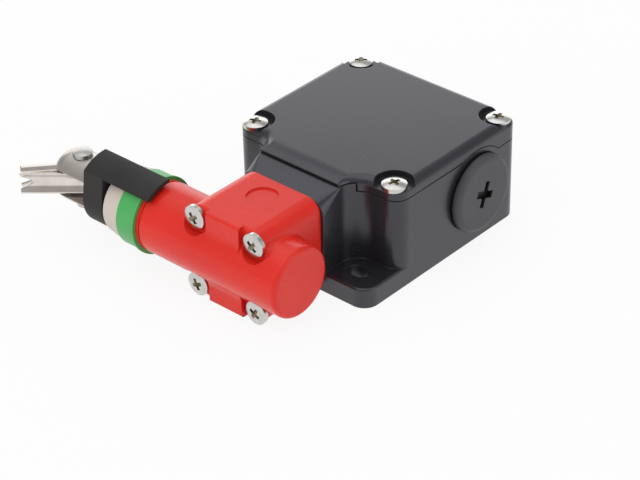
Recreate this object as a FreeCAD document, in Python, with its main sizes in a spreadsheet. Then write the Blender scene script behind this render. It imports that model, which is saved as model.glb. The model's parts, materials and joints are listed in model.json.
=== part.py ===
import FreeCAD, Part
import math
import os
import Sketcher
from FreeCAD import Placement, Rotation, Vector

# Rope pull switch, in millimetres. X runs along the pull rod, from the rope at -X to the closed
# end of the head. Y runs from the head to the back of the housing. Z is up from the mounting plane.
# The origin lies on that plane, midway between the two fixing slots.

doc = FreeCAD.newDocument("rope_pull_switch")
sheet = doc.addObject("Spreadsheet::Sheet", "Sizes")

driving_sizes = {
    # housing
    "slot_spacing": 46.4,
    "slot_width": 5.3,
    "slot_length": 7.3,
    "pocket_radius": 7.0,
    "body_width": 65.4,
    "body_back": 65.5,
    "corner_radius": 5.0,
    "neck_reach": 7.6,
    "foot_height": 6.7,
    "foot_edge_radius": 0.8,
    "floor_thickness": 3.5,
    "neck_step": 5.0,
    "neck_edge_radius": 0.6,
    "lip_thickness": 1.8,
    "skirt_thickness": 2.1,
    "fit_gap": 0.2,
    "cut_margin": 2.0,
    "post_radius": 6.0,
    "post_edge_radius": 3.0,
    # parting ledges, down from the top of the lid
    "ledge_front": 4.8,
    "ledge_back": 7.4,
    "parting_gap": 0.3,
    # neck and lid seat, up from the front ledge, and lip, up from the back ledge
    "neck_top_height": 2.9,
    "lid_seat_height": 2.7,
    "lip_height": 3.2,
    # rim of the neck, up from the pull axis
    "neck_rim_height": 15.4,
    # lid
    "lid_height": 35.2,
    "lid_recess_radius": 6.2,
    "lid_edge_radius": 2.8,
    "lid_nose_length": 6.0,
    "lid_nose_drop": 0.9,
    "lid_gasket_thickness": 1.0,
    "lid_screw_width": 56.0,
    "lid_screw_front": 11.0,
    "lid_screw_length": 50.0,
    # pan-head screws of lid and head
    "screw_radius": 2.0,
    "screw_play": 0.2,
    "screw_wall": 1.0,
    "screw_head_radius": 3.9,
    "screw_head_height": 2.0,
    "screw_head_rim": 1.0,
    "screw_reach": 12.0,
    "thread_gap": 0.05,
    "recess_arm": 4.4,
    "recess_width": 0.9,
    "recess_depth": 1.6,
    # cable entries and their plugs, with their axis down from the back ledge
    "entry_y": 45.0,
    "entry_height": 10.8,
    "entry_boss_radius": 14.7,
    "entry_bore_radius": 9.2,
    "entry_inner_radius": 12.5,
    "entry_depth": 9.7,
    "plug_flange_radius": 13.0,
    "plug_flange_thickness": 2.4,
    "plug_edge_radius": 1.8,
    "plug_shank_length": 8.0,
    "plug_shank_wall": 2.2,
    "plug_slot_length": 10.0,
    "plug_slot_width": 1.6,
    "plug_key_length": 7.4,
    "plug_key_width": 2.8,
    "plug_slot_depth": 1.3,
    "plug_seal_thickness": 0.6,
    "plug_seal_radius": 12.2,
    # head
    "head_width": 30.4,
    "head_height": 31.6,
    "head_corner_radius": 5.0,
    "head_depth": 24.4,
    "head_axis_height": 16.0,
    "head_edge_radius": 1.0,
    "web_width": 13.3,
    "web_reach": 1.8,
    "web_root_radius": 5.0,
    "tube_axis_reach": 18.2,
    "tube_radius": 11.6,
    "tube_bore_radius": 9.0,
    "tube_open_reach": 33.4,
    "tube_closed_reach": 23.4,
    "tube_end_wall": 3.4,
    "tube_edge_radius": 1.5,
    "tube_root_radius": 1.2,
    "tube_groove_inset": 1.7,
    "tube_groove_width": 0.6,
    "tube_groove_depth": 0.4,
    "head_screw_spacing": 23.66,
    "spot_face_radius": 5.2,
    "top_mark_radius": 5.0,
    "top_mark_depth": 0.5,
    "top_mark_reach": 8.6,
    "head_gasket_radius": 9.4,
    "head_gasket_width": 2.0,
    "head_gasket_depth": 1.2,
    # green ring and front bush
    "green_ring_length": 7.6,
    "green_ring_radius": 12.3,
    "green_rim_step": 0.4,
    "green_rim_width": 1.0,
    "bush_flange_length": 7.0,
    "bush_step": 0.2,
    "bush_taper": 1.1,
    "bush_front_wall": 4.0,
    "bush_spigot_length": 16.0,
    "rod_seal_radius": 6.6,
    "rod_seal_length": 1.8,
    # pull rod and what moves with it
    "rod_radius": 4.0,
    "running_gap": 0.05,
    "collar_gap": 1.1,
    "collar_length": 8.2,
    "collar_radius": 10.5,
    "tongue_gap": 0.3,
    "tongue_thickness": 1.2,
    "tongue_half_angle": 21.0,
    "tongue_turn": 19.0,
    "tongue_reach": 19.3,
    "clevis_radius": 8.5,
    "clevis_slot_height": 8.8,
    "clevis_nose_radius": 5.0,
    "clevis_web": 0.7,
    "nut_thickness": 2.8,
    "nut_flats": 13.0,
    "pin_reach": 10.3,
    "pin_radius": 1.6,
    "pin_head_radius": 3.2,
    "pin_head_height": 1.7,
    "pin_head_rise": 0.4,
    "pin_seat_depth": 0.3,
    "cam_slope": 0.2,
    "cam_step": 0.31,
    "cam_neck_wall": 0.5,
    "cam_front": 4.5,
    "cam_land": 1.8,
    "spring_seat_thickness": 2.0,
    "spring_seat_radius": 8.0,
    "spring_radius": 6.4,
    "spring_wire_radius": 0.8,
    "spring_gap": 0.4,
    "spring_turns": 5.5,
    # rope thimble
    "thimble_play": 0.15,
    "thimble_wall": 0.9,
    "thimble_groove_radius": 3.0,
    "thimble_half_angle": 62.0,
    "thimble_reach": 19.7,
    "thimble_lean": 4.0,
    "thimble_turn": 44.0,
    "thimble_notch": 3.8,
    # plunger between head and contacts
    "plunger_radius": 3.0,
    "plunger_gap": 0.15,
    "plunger_end": 14.0,
    "guide_radius": 4.2,
    "guide_gap": 0.8,
    "guide_back": 8.0,
    "plunger_seal_radius": 5.2,
    # contact block
    "block_front": 17.0,
    "block_length": 34.0,
    "block_width": 30.0,
    "block_floor": 6.0,
    "block_wall": 3.2,
    # tops of the block's walls, up from the plunger axis
    "block_wall_height": 2.0,
    "slider_width": 7.0,
    "slider_length": 24.0,
    "slider_play": 0.1,
    "bridge_front": 24.0,
    "bridge_spacing": 8.0,
    "bridge_thickness": 1.0,
    "bridge_width": 22.0,
    "bridge_height": 3.0,
    "contact_travel": 3.05,
    "contact_thickness": 1.2,
    "contact_width": 5.0,
    "contact_overlap": 3.5,
    "clamp_thickness": 1.0,
    "terminal_screw_radius": 1.0,
    "terminal_head_radius": 2.2,
    "terminal_head_height": 1.8,
    "terminal_reach": 5.0,
    "contact_spring_radius": 2.6,
    "contact_spring_wire": 0.35,
    "contact_spring_turns": 5.0,
    "block_screw_radius": 1.5,
    "block_screw_head_radius": 2.8,
    "block_screw_head_height": 2.0,
    "block_screw_inset": 3.0,
    "block_screw_width": 15.0,
    "block_screw_reach": 1.8,
    "earth_boss_radius": 4.0,
    "earth_boss_height": 6.0,
    "earth_x": 20.0,
    "earth_y": 23.0,
}


class Size:
    # A length together with the sheet formula that gives it.
    def __init__(self, value, formula):
        self.value = value
        self.formula = formula

    def __add__(self, other):
        return Size(self.value + number(other), f"({self.formula} + {formula(other)})")

    def __sub__(self, other):
        return Size(self.value - number(other), f"({self.formula} - {formula(other)})")

    def __mul__(self, other):
        return Size(self.value * number(other), f"({self.formula} * {formula(other)})")

    def __truediv__(self, other):
        return Size(self.value / number(other), f"({self.formula} / {formula(other)})")

    def __neg__(self):
        return Size(-self.value, f"(0 - {self.formula})")


def number(size):
    return size.value if isinstance(size, Size) else float(size)


def formula(size):
    return size.formula if isinstance(size, Size) else f"({float(size)!r})"


def root(size):
    return Size(math.sqrt(size.value), f"sqrt({size.formula})")


def sine(degrees):
    return Size(math.sin(math.radians(degrees.value)), f"sin({degrees.formula})")


def cosine(degrees):
    return Size(math.cos(math.radians(degrees.value)), f"cos({degrees.formula})")


def leg(longest, other):
    # The third side of a right-angled triangle.
    return root(longest * longest - other * other)


class SizeList:
    pass


s = SizeList()
for row, (alias, value) in enumerate(driving_sizes.items(), start=1):
    sheet.set(f"A{row}", alias)
    sheet.set(f"B{row}", str(value))
    sheet.setAlias(f"B{row}", alias)
    setattr(s, alias, Size(value, f"Sizes.{alias}"))
doc.recompute()

nodes = []
tolerance = 1e-6
zero = Size(0, "0")
one = Size(1, "1")

# Places that several pieces share.
half_width = s.body_width / 2
slot_x = s.slot_spacing / 2
neck_half = slot_x - s.pocket_radius
skirt_inside = s.skirt_thickness + s.fit_gap
wall = skirt_inside + s.lip_thickness
ledge_front = s.lid_height - s.ledge_front
ledge_back = s.lid_height - s.ledge_back
entry_z = ledge_back - s.entry_height
neck_top = ledge_front + s.neck_top_height
neck_rim = s.head_axis_height + s.neck_rim_height
lid_seat = ledge_front + s.lid_seat_height
lip_top = ledge_back + s.lip_height
lid_ceiling = lip_top + s.lid_gasket_thickness
screw_boss = s.screw_radius + s.screw_play + s.screw_wall
lid_screw_x = s.lid_screw_width / 2
lid_screw_back = s.lid_screw_front + s.lid_screw_length
axis_y = -(s.neck_reach + s.tube_axis_reach)
seat_y = -(s.neck_reach + s.head_depth)
head_screw_reach = s.head_screw_spacing / 2
tube_open = -s.tube_open_reach
ring_front = tube_open - s.green_ring_length
bush_front = ring_front - s.bush_flange_length
ring_rim = s.green_ring_radius + s.green_rim_step
collar_back = bush_front - s.collar_gap
collar_front = collar_back - s.collar_length
pin_x = collar_front - s.pin_reach
clevis_back = collar_back - s.nut_thickness
tube_bottom = s.tube_closed_reach - s.tube_end_wall
spring_floor = bush_front + s.bush_front_wall
block_back = s.block_front + s.block_length
block_top = s.floor_thickness + s.block_floor
block_wall_top = s.head_axis_height + s.block_wall_height
pin_seat = s.clevis_radius - s.pin_seat_depth
cam_land = tube_bottom - s.cam_land
cam_land_radius = s.tube_bore_radius - s.running_gap
cam_radius = cam_land_radius - s.cam_step - s.cam_slope * cam_land
terminal_x = s.block_width / 2 - s.block_wall / 2
slider_half = s.slider_width / 2


def new_body(name):
    body = doc.addObject("PartDesign::Body", name)
    body.Label = name
    return body


def keep(item, name):
    item.Label = name
    nodes.append(item)


def place(item, x=0, y=0, z=0, axis=None, angle=0):
    # Turn by a fixed or driven angle, then shift to a driven place.
    if axis:
        item.Placement = Placement(Vector(), Rotation(Vector(*axis), number(angle)))
        if isinstance(angle, Size):
            item.setExpression("Placement.Rotation.Angle", angle.formula)
    for letter, size in (("x", x), ("y", y), ("z", z)):
        item.setExpression(f"Placement.Base.{letter}", formula(size))


def sketch_on(body, role, offset=0):
    plane = next(item for item in body.Origin.OriginFeatures if item.Role == role)
    sketch = body.newObject("Sketcher::SketchObject", body.Name + "_sketch")
    sketch.AttachmentSupport = [(plane, "")]
    sketch.MapMode = "FlatFace"
    sketch.setExpression("AttachmentOffset.Base.z", formula(offset))
    return sketch


def fix(sketch, kind, geometry, position, size):
    if position is None:
        constraint = Sketcher.Constraint(kind, geometry, number(size))
    else:
        constraint = Sketcher.Constraint(kind, -1, 1, geometry, position, number(size))
    index = sketch.addConstraint(constraint)
    if isinstance(size, Size):
        sketch.setExpression(f"Constraints[{index}]", size.formula)


def flat_point(corner):
    return Vector(number(corner[0]), number(corner[1]), 0)


def arc_about(centre, begin, finish):
    circle = Part.Circle(centre, Vector(0, 0, 1), (begin - centre).Length)
    first = math.atan2(begin.y - centre.y, begin.x - centre.x)
    last = math.atan2(finish.y - centre.y, finish.x - centre.x)
    if last <= first:
        last += 2 * math.pi
    return Part.ArcOfCircle(circle, first, last)


def loop(sketch, *corners):
    # Closed outline. A corner (x, y) ends a straight run. A corner (x, y, cx, cy, way) ends an arc
    # about (cx, cy), anticlockwise where way is 1 and clockwise where it is -1.
    first = sketch.GeometryCount
    ends = []
    for before, here in zip(corners[-1:] + corners[:-1], corners):
        begin = flat_point(before)
        finish = flat_point(here)
        if len(here) == 2:
            sketch.addGeometry(Part.LineSegment(begin, finish), False)
            ends.append((1, 2))
        elif here[4] > 0:
            sketch.addGeometry(arc_about(flat_point(here[2:4]), begin, finish), False)
            ends.append((1, 2))
        else:
            sketch.addGeometry(arc_about(flat_point(here[2:4]), finish, begin), False)
            ends.append((2, 1))
    count = len(corners)
    for index in range(count):
        after = (index + 1) % count
        sketch.addConstraint(Sketcher.Constraint(
            "Coincident", first + index, ends[index][1], first + after, ends[after][0]))
    for index, corner in enumerate(corners):
        fix(sketch, "DistanceX", first + index, ends[index][1], corner[0])
        fix(sketch, "DistanceY", first + index, ends[index][1], corner[1])
        if len(corner) > 2:
            chord = flat_point(corner) - flat_point(corners[index - 1])
            if abs(chord.y) > abs(chord.x):
                fix(sketch, "DistanceX", first + index, 3, corner[2])
            else:
                fix(sketch, "DistanceY", first + index, 3, corner[3])


def disc(sketch, x, y, radius):
    centre = Vector(number(x), number(y), 0)
    index = sketch.addGeometry(Part.Circle(centre, Vector(0, 0, 1), number(radius)), False)
    fix(sketch, "DistanceX", index, 3, x)
    fix(sketch, "DistanceY", index, 3, y)
    fix(sketch, "Radius", index, None, radius)


def half_disc(sketch, x, y, radius):
    # Upper half of a disc.
    loop(sketch, (x + radius, y), (x - radius, y, x, y, 1))


def rectangle(sketch, left, right, low, high):
    loop(sketch, (left, low), (right, low), (right, high), (left, high))


def rounded(sketch, left, right, low, high, radius):
    loop(sketch,
         (left + radius, low, left + radius, low + radius, 1),
         (right - radius, low),
         (right, low + radius, right - radius, low + radius, 1),
         (right, high - radius),
         (right - radius, high, right - radius, high - radius, 1),
         (left + radius, high),
         (left, high - radius, left + radius, high - radius, 1),
         (left, low + radius))


def pad(body, sketch, length, reverse=False, both_sides=False):
    feature = body.newObject("PartDesign::Pad", body.Name + "_pad")
    feature.Profile = sketch
    feature.setExpression("Length", formula(length))
    feature.Reversed = reverse
    feature.SideType = "Symmetric" if both_sides else "One side"
    return feature


def cut(body, sketch, length, reverse=False, both_sides=False):
    # Cuts against the sketch normal, or along it where reversed.
    feature = body.newObject("PartDesign::Pocket", body.Name + "_cut")
    feature.Profile = sketch
    feature.Type = "Length"
    feature.setExpression("Length", formula(length))
    feature.Reversed = reverse
    feature.SideType = "Symmetric" if both_sides else "One side"
    return feature


def revolve(body, sketch, axis):
    feature = body.newObject("PartDesign::Revolution", body.Name + "_turned")
    feature.Profile = sketch
    feature.ReferenceAxis = (sketch, [axis])
    feature.Angle = 360
    return feature


def round_edges(body, feature, radius, wanted):
    # Rounds the edges of a feature that a test on the edge picks out.
    doc.recompute()
    names = [f"Edge{index}" for index, edge in enumerate(feature.Shape.Edges, start=1) if wanted(edge)]
    rounding = body.newObject("PartDesign::Fillet", body.Name + "_rounding")
    rounding.Base = (feature, names)
    rounding.setExpression("Radius", formula(radius))
    return rounding


def mirror(body, feature, role):
    plane = next(item for item in body.Origin.OriginFeatures if item.Role == role)
    copy = body.newObject("PartDesign::Mirrored", body.Name + "_mirrored")
    copy.Originals = [feature]
    copy.MirrorPlane = (plane, [""])
    body.Tip = copy
    return copy


def group(name, items):
    compound = doc.addObject("Part::Compound", name)
    compound.Links = items
    keep(compound, name)


def lies_at_height(edge, height):
    box = edge.BoundBox
    return abs(box.ZMin - height.value) < tolerance and abs(box.ZMax - height.value) < tolerance


def lies_round_tube(edge, reach):
    # Picks the arcs in which the tube leaves the two sides of the head's block.
    if not isinstance(edge.Curve, Part.Circle) or abs(edge.Curve.Radius - s.tube_radius.value) > tolerance:
        return False
    box = edge.BoundBox
    return box.XLength < tolerance and abs(abs(box.XMin) - reach.value) < tolerance


def wall_corners():
    # Outline of the walls from one side of the neck round the back to the other side.
    r = s.corner_radius
    shoulder = s.pocket_radius
    return [
        (slot_x, shoulder, slot_x, zero, -1),
        (half_width - r, shoulder),
        (half_width, shoulder + r, half_width - r, shoulder + r, 1),
        (half_width, s.body_back - r),
        (half_width - r, s.body_back, half_width - r, s.body_back - r, 1),
        (r - half_width, s.body_back),
        (-half_width, s.body_back - r, r - half_width, s.body_back - r, 1),
        (-half_width, shoulder + r),
        (r - half_width, shoulder, r - half_width, shoulder + r, 1),
        (-slot_x, shoulder),
        (-neck_half, zero, -slot_x, zero, -1),
    ]


def parting_corners(gap):
    # Parting line between housing and lid, seen from the side, from the neck to the back.
    return [
        (zero, neck_top + gap),
        (s.neck_step + gap, neck_top + gap),
        (s.neck_step + gap, ledge_front + gap),
        (s.entry_y, ledge_front + gap),
        (s.entry_y, ledge_back + gap),
        (s.body_back + wall, ledge_back + gap),
    ]


def chamber(sketch, growth):
    # Wiring chamber outline, which steps inwards round the four screw posts.
    side = half_width - wall + growth
    front = s.pocket_radius + wall - growth
    back = s.body_back - wall + growth
    reach = s.post_radius - growth
    x = lid_screw_x - reach
    y = s.lid_screw_front + reach
    far_y = lid_screw_back - reach
    r = s.post_edge_radius - growth
    loop(sketch,
         (-x, front), (x, front),
         (x, y - r), (x + r, y, x + r, y - r, -1),
         (side, y), (side, far_y),
         (x + r, far_y), (x, far_y + r, x + r, far_y + r, -1),
         (x, back), (-x, back),
         (-x, far_y + r), (-x - r, far_y, -x - r, far_y + r, -1),
         (-side, far_y), (-side, y),
         (-x - r, y), (-x, y - r, -x - r, y - r, -1))


def corner_waste(body, offset, top, radius):
    # What lies outside a rounded upper corner of the neck, seen from the front.
    sketch = sketch_on(body, "XZ_Plane", offset)
    outside = neck_half + s.cut_margin
    above = top + s.cut_margin
    inside = neck_half - radius
    loop(sketch, (neck_half, top - radius, inside, top - radius, -1), (outside, top - radius),
         (outside, above), (inside, above), (inside, top))
    return sketch


def lid_screw_places():
    return [(x, y) for y in (s.lid_screw_front, lid_screw_back) for x in (-lid_screw_x, lid_screw_x)]


def head_screw_places():
    middle = s.head_axis_height
    return [(x, z) for z in (middle - head_screw_reach, middle + head_screw_reach)
            for x in (-head_screw_reach, head_screw_reach)]


def block_screw_places():
    far = block_back - s.block_wall - s.block_screw_inset
    near = s.block_front + s.block_wall + s.block_screw_inset
    x = s.block_screw_width / 2
    return [(-x, far), (x, near)]


def make_housing():
    body = new_body("housing")
    sketch = sketch_on(body, "XY_Plane")
    rounded(sketch, -half_width, half_width, -s.neck_reach, s.body_back, s.corner_radius)
    foot = pad(body, sketch, s.foot_height)
    round_edges(body, foot, s.foot_edge_radius, lambda edge: lies_at_height(edge, s.foot_height))

    sketch = sketch_on(body, "XY_Plane")
    loop(sketch, (-neck_half, -s.neck_reach), (neck_half, -s.neck_reach), (neck_half, zero), *wall_corners())
    pad(body, sketch, s.lid_height)

    # Each screw has a full wall round its thread, wherever the outer walls are.
    sketch = sketch_on(body, "XY_Plane", s.floor_thickness)
    for x, y in lid_screw_places():
        disc(sketch, x, y, screw_boss)
    pad(body, sketch, s.lid_height - s.floor_thickness)
    sketch = sketch_on(body, "XZ_Plane", s.neck_reach)
    for x, z in head_screw_places():
        disc(sketch, x, z, screw_boss)
    pad(body, sketch, s.screw_reach, reverse=True)

    # Everything above the parting line goes, then the neck's upper corners are rounded, from the
    # head's own rounding to a fine edge at the lid, and the chamber is hollowed.
    sketch = sketch_on(body, "YZ_Plane")
    front = -(s.neck_reach + wall)
    above = s.lid_height + s.cut_margin
    loop(sketch, (front, neck_rim), (-s.neck_reach, neck_rim), *parting_corners(zero),
         (s.body_back + wall, above), (front, above))
    cut(body, sketch, s.body_width + s.cut_margin, both_sides=True)
    near = corner_waste(body, s.neck_reach, neck_rim, s.head_corner_radius)
    far = corner_waste(body, zero, neck_top, s.neck_edge_radius)
    shaving = body.newObject("PartDesign::SubtractiveLoft", "housing_neck_corner")
    shaving.Profile = near
    shaving.Sections = [far]
    shaving.Ruled = True
    mirror(body, shaving, "YZ_Plane")
    sketch = sketch_on(body, "XY_Plane", s.lid_height)
    chamber(sketch, zero)
    cut(body, sketch, s.lid_height - s.floor_thickness)

    # Lip that carries the lid gasket.
    sketch = sketch_on(body, "XY_Plane", ledge_back - s.lip_thickness)
    chamber(sketch, s.lip_thickness)
    chamber(sketch, zero)
    pad(body, sketch, s.lip_height + s.lip_thickness)

    # Bosses of the two side entries and the back entry, which stand up into the lid's skirt and
    # reach into the chamber, then their bores.
    sketch = sketch_on(body, "YZ_Plane", half_width - skirt_inside)
    half_disc(sketch, s.entry_y, entry_z, s.entry_boss_radius)
    face = pad(body, sketch, skirt_inside)
    mirror(body, face, "YZ_Plane")
    sketch = sketch_on(body, "YZ_Plane", half_width - s.entry_depth)
    disc(sketch, s.entry_y, entry_z, s.entry_inner_radius)
    boss = pad(body, sketch, s.entry_depth - skirt_inside)
    mirror(body, boss, "YZ_Plane")
    sketch = sketch_on(body, "XZ_Plane", -s.body_back)
    half_disc(sketch, zero, entry_z, s.entry_boss_radius)
    pad(body, sketch, skirt_inside)
    sketch = sketch_on(body, "XZ_Plane", skirt_inside - s.body_back)
    disc(sketch, zero, entry_z, s.entry_inner_radius)
    pad(body, sketch, s.entry_depth - skirt_inside)
    sketch = sketch_on(body, "YZ_Plane")
    disc(sketch, s.entry_y, entry_z, s.entry_bore_radius)
    cut(body, sketch, s.body_width + s.cut_margin, both_sides=True)
    sketch = sketch_on(body, "XZ_Plane", -s.body_back)
    disc(sketch, zero, entry_z, s.entry_bore_radius)
    cut(body, sketch, s.entry_depth + s.cut_margin, reverse=True)

    # Earth boss on the floor.
    sketch = sketch_on(body, "XY_Plane")
    disc(sketch, s.earth_x, s.earth_y, s.earth_boss_radius)
    pad(body, sketch, s.floor_thickness + s.earth_boss_height)
    sketch = sketch_on(body, "XY_Plane", s.floor_thickness + s.earth_boss_height)
    disc(sketch, s.earth_x, s.earth_y, s.screw_radius + s.thread_gap)
    cut(body, sketch, s.earth_boss_height)

    # Fixing slots.
    sketch = sketch_on(body, "XY_Plane", s.foot_height)
    run = (s.slot_length - s.slot_width) / 2
    r = s.slot_width / 2
    for x in (-slot_x, slot_x):
        loop(sketch, (x - run, -r, x - run, zero, 1), (x + run, -r),
             (x + run, r, x + run, zero, 1), (x - run, r))
    cut(body, sketch, s.foot_height + s.cut_margin)

    # Threads for the lid screws, the head screws and the contact block screws.
    sketch = sketch_on(body, "XY_Plane", s.lid_height)
    for x, y in lid_screw_places():
        disc(sketch, x, y, s.screw_radius + s.thread_gap)
    cut(body, sketch, s.lid_height - lid_seat + s.screw_reach + s.screw_play)
    sketch = sketch_on(body, "XZ_Plane", s.neck_reach)
    for x, z in head_screw_places():
        disc(sketch, x, z, s.screw_radius + s.thread_gap)
    cut(body, sketch, s.screw_reach)
    sketch = sketch_on(body, "XY_Plane", s.floor_thickness)
    for x, y in block_screw_places():
        disc(sketch, x, y, s.block_screw_radius + s.thread_gap)
    cut(body, sketch, s.block_screw_reach + s.screw_play)

    # Plunger passage through the neck, with a seat for its seal on the chamber side.
    front_wall_inside = s.pocket_radius + wall
    sketch = sketch_on(body, "XZ_Plane", s.neck_reach)
    disc(sketch, zero, s.head_axis_height, s.guide_radius + s.running_gap)
    cut(body, sketch, s.neck_reach + front_wall_inside + s.cut_margin)
    sketch = sketch_on(body, "XZ_Plane", -s.guide_back)
    disc(sketch, zero, s.head_axis_height, s.plunger_seal_radius + s.running_gap)
    cut(body, sketch, front_wall_inside - s.guide_back + s.cut_margin)
    keep(body, "housing")


def make_lid():
    body = new_body("lid")
    top = s.lid_height
    sketch = sketch_on(body, "XY_Plane", ledge_back)
    loop(sketch, (neck_half, zero), *wall_corners())
    cap = pad(body, sketch, top - ledge_back)
    round_edges(body, cap, s.lid_edge_radius,
                lambda edge: lies_at_height(edge, top) and edge.BoundBox.YMax > tolerance)

    # The nose over the neck curves down to its front edge.
    drop = s.lid_nose_drop
    nose = s.lid_nose_length
    bend = (nose * nose + drop * drop) / (drop * 2)
    front = -wall
    above = top + s.cut_margin
    sketch = sketch_on(body, "YZ_Plane")
    loop(sketch, (front, top - drop), (zero, top - drop), (nose, top, nose, top - bend, -1),
         (nose, above), (front, above))
    cut(body, sketch, s.body_width + s.cut_margin, both_sides=True)

    # Seats of the screws, each with a full wall round its hole.
    sketch = sketch_on(body, "XY_Plane", ledge_back)
    for x, y in lid_screw_places():
        disc(sketch, x, y, screw_boss)
    pad(body, sketch, lid_seat - ledge_back)
    sketch = sketch_on(body, "XY_Plane", top)
    for x, y in lid_screw_places():
        disc(sketch, x, y, s.lid_recess_radius)
    cut(body, sketch, top - lid_seat)

    sketch = sketch_on(body, "YZ_Plane")
    loop(sketch, (front, neck_top + s.parting_gap), *parting_corners(s.parting_gap),
         (s.body_back + wall, zero), (front, zero))
    cut(body, sketch, s.body_width + s.cut_margin, both_sides=True)

    # Room in the skirt for the bosses of the side entries and the back entry.
    sketch = sketch_on(body, "YZ_Plane", half_width - skirt_inside)
    disc(sketch, s.entry_y, entry_z, s.entry_boss_radius + s.fit_gap)
    arch = cut(body, sketch, skirt_inside + s.cut_margin, reverse=True)
    mirror(body, arch, "YZ_Plane")
    sketch = sketch_on(body, "XZ_Plane", skirt_inside - s.body_back)
    disc(sketch, zero, entry_z, s.entry_boss_radius + s.fit_gap)
    cut(body, sketch, skirt_inside + s.cut_margin)

    sketch = sketch_on(body, "XY_Plane")
    chamber(sketch, s.lip_thickness + s.fit_gap)
    cut(body, sketch, lid_ceiling, reverse=True)

    sketch = sketch_on(body, "XY_Plane", top)
    for x, y in lid_screw_places():
        disc(sketch, x, y, s.screw_radius + s.screw_play)
    cut(body, sketch, top)
    keep(body, "lid")


def make_lid_gasket():
    body = new_body("lid_gasket")
    sketch = sketch_on(body, "XY_Plane", lip_top)
    chamber(sketch, s.lip_thickness)
    chamber(sketch, zero)
    pad(body, sketch, s.lid_gasket_thickness)
    keep(body, "lid_gasket")


def make_screw(name, radius, head_radius, head_height, rim, reach):
    # Pan-head screw with a cross recess, its head standing on z = 0.
    body = new_body(name)
    sketch = sketch_on(body, "XZ_Plane")
    rise = head_height - rim
    dome = (head_radius * head_radius + rise * rise) / (rise * 2)
    loop(sketch, (zero, -reach), (radius, -reach), (radius, zero), (head_radius, zero),
         (head_radius, rim), (zero, head_height, zero, head_height - dome, 1))
    revolve(body, sketch, "V_Axis")
    return body


def add_cross_recess(body, head_height):
    sketch = sketch_on(body, "XY_Plane", head_height)
    a = s.recess_arm / 2
    w = s.recess_width / 2
    loop(sketch, (w, -a), (w, -w), (a, -w), (a, w), (w, w), (w, a),
         (-w, a), (-w, w), (-a, w), (-a, -w), (-w, -w), (-w, -a))
    cut(body, sketch, s.recess_depth)


def make_lid_screws():
    screws = []
    for x, y in lid_screw_places():
        screw = make_screw("lid_screw", s.screw_radius, s.screw_head_radius, s.screw_head_height,
                           s.screw_head_rim, s.screw_reach)
        add_cross_recess(screw, s.screw_head_height)
        place(screw, x, y, lid_seat)
        screws.append(screw)
    group("lid_screws", screws)


def make_head_screws():
    screws = []
    for x, z in head_screw_places():
        screw = make_screw("head_screw", s.screw_radius, s.screw_head_radius, s.screw_head_height,
                           s.screw_head_rim, s.head_depth + s.screw_reach - s.screw_play)
        add_cross_recess(screw, s.screw_head_height)
        place(screw, x, seat_y, z, axis=(1, 0, 0), angle=90)
        screws.append(screw)
    group("head_screws", screws)


def make_conduit_plugs():
    # Blanking plug along local X: flange outside the wall, hollow shank in the bore.
    body = new_body("conduit_plug")
    flange = half_width + s.plug_seal_thickness
    face = flange + s.plug_flange_thickness
    inner = half_width - s.plug_shank_length
    shank = s.entry_bore_radius - s.running_gap
    hollow = shank - s.plug_shank_wall
    edge = s.plug_edge_radius
    sketch = sketch_on(body, "XY_Plane")
    loop(sketch, (half_width, zero), (half_width, hollow), (inner, hollow), (inner, shank),
         (flange, shank), (flange, s.plug_flange_radius), (face - edge, s.plug_flange_radius),
         (face, s.plug_flange_radius - edge, face - edge, s.plug_flange_radius - edge, -1),
         (face, zero))
    revolve(body, sketch, "H_Axis")
    sketch = sketch_on(body, "YZ_Plane", face)
    a = s.plug_slot_length / 2
    w = s.plug_slot_width / 2
    k = s.plug_key_length / 2
    v = s.plug_key_width / 2
    loop(sketch, (w, -a), (w, -v), (k, -v), (k, v), (w, v), (w, a),
         (-w, a), (-w, v), (-k, v), (-k, -v), (-w, -v), (-w, -a))
    cut(body, sketch, s.plug_slot_depth)
    place(body, zero, s.entry_y, entry_z)
    keep(body, "conduit_plug_right")
    twin = doc.addObject("Part::Mirroring", "conduit_plug_left")
    twin.Source = body
    twin.Normal = Vector(1, 0, 0)
    keep(twin, "conduit_plug_left")


def make_plug_seals():
    seals = []
    for side in (1, -1):
        body = new_body("plug_seal")
        sketch = sketch_on(body, "YZ_Plane", half_width if side > 0 else -half_width)
        disc(sketch, zero, zero, s.plug_seal_radius)
        disc(sketch, zero, zero, s.entry_bore_radius)
        pad(body, sketch, s.plug_seal_thickness, reverse=side < 0)
        place(body, zero, s.entry_y, entry_z)
        seals.append(body)
    group("plug_seals", seals)


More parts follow.
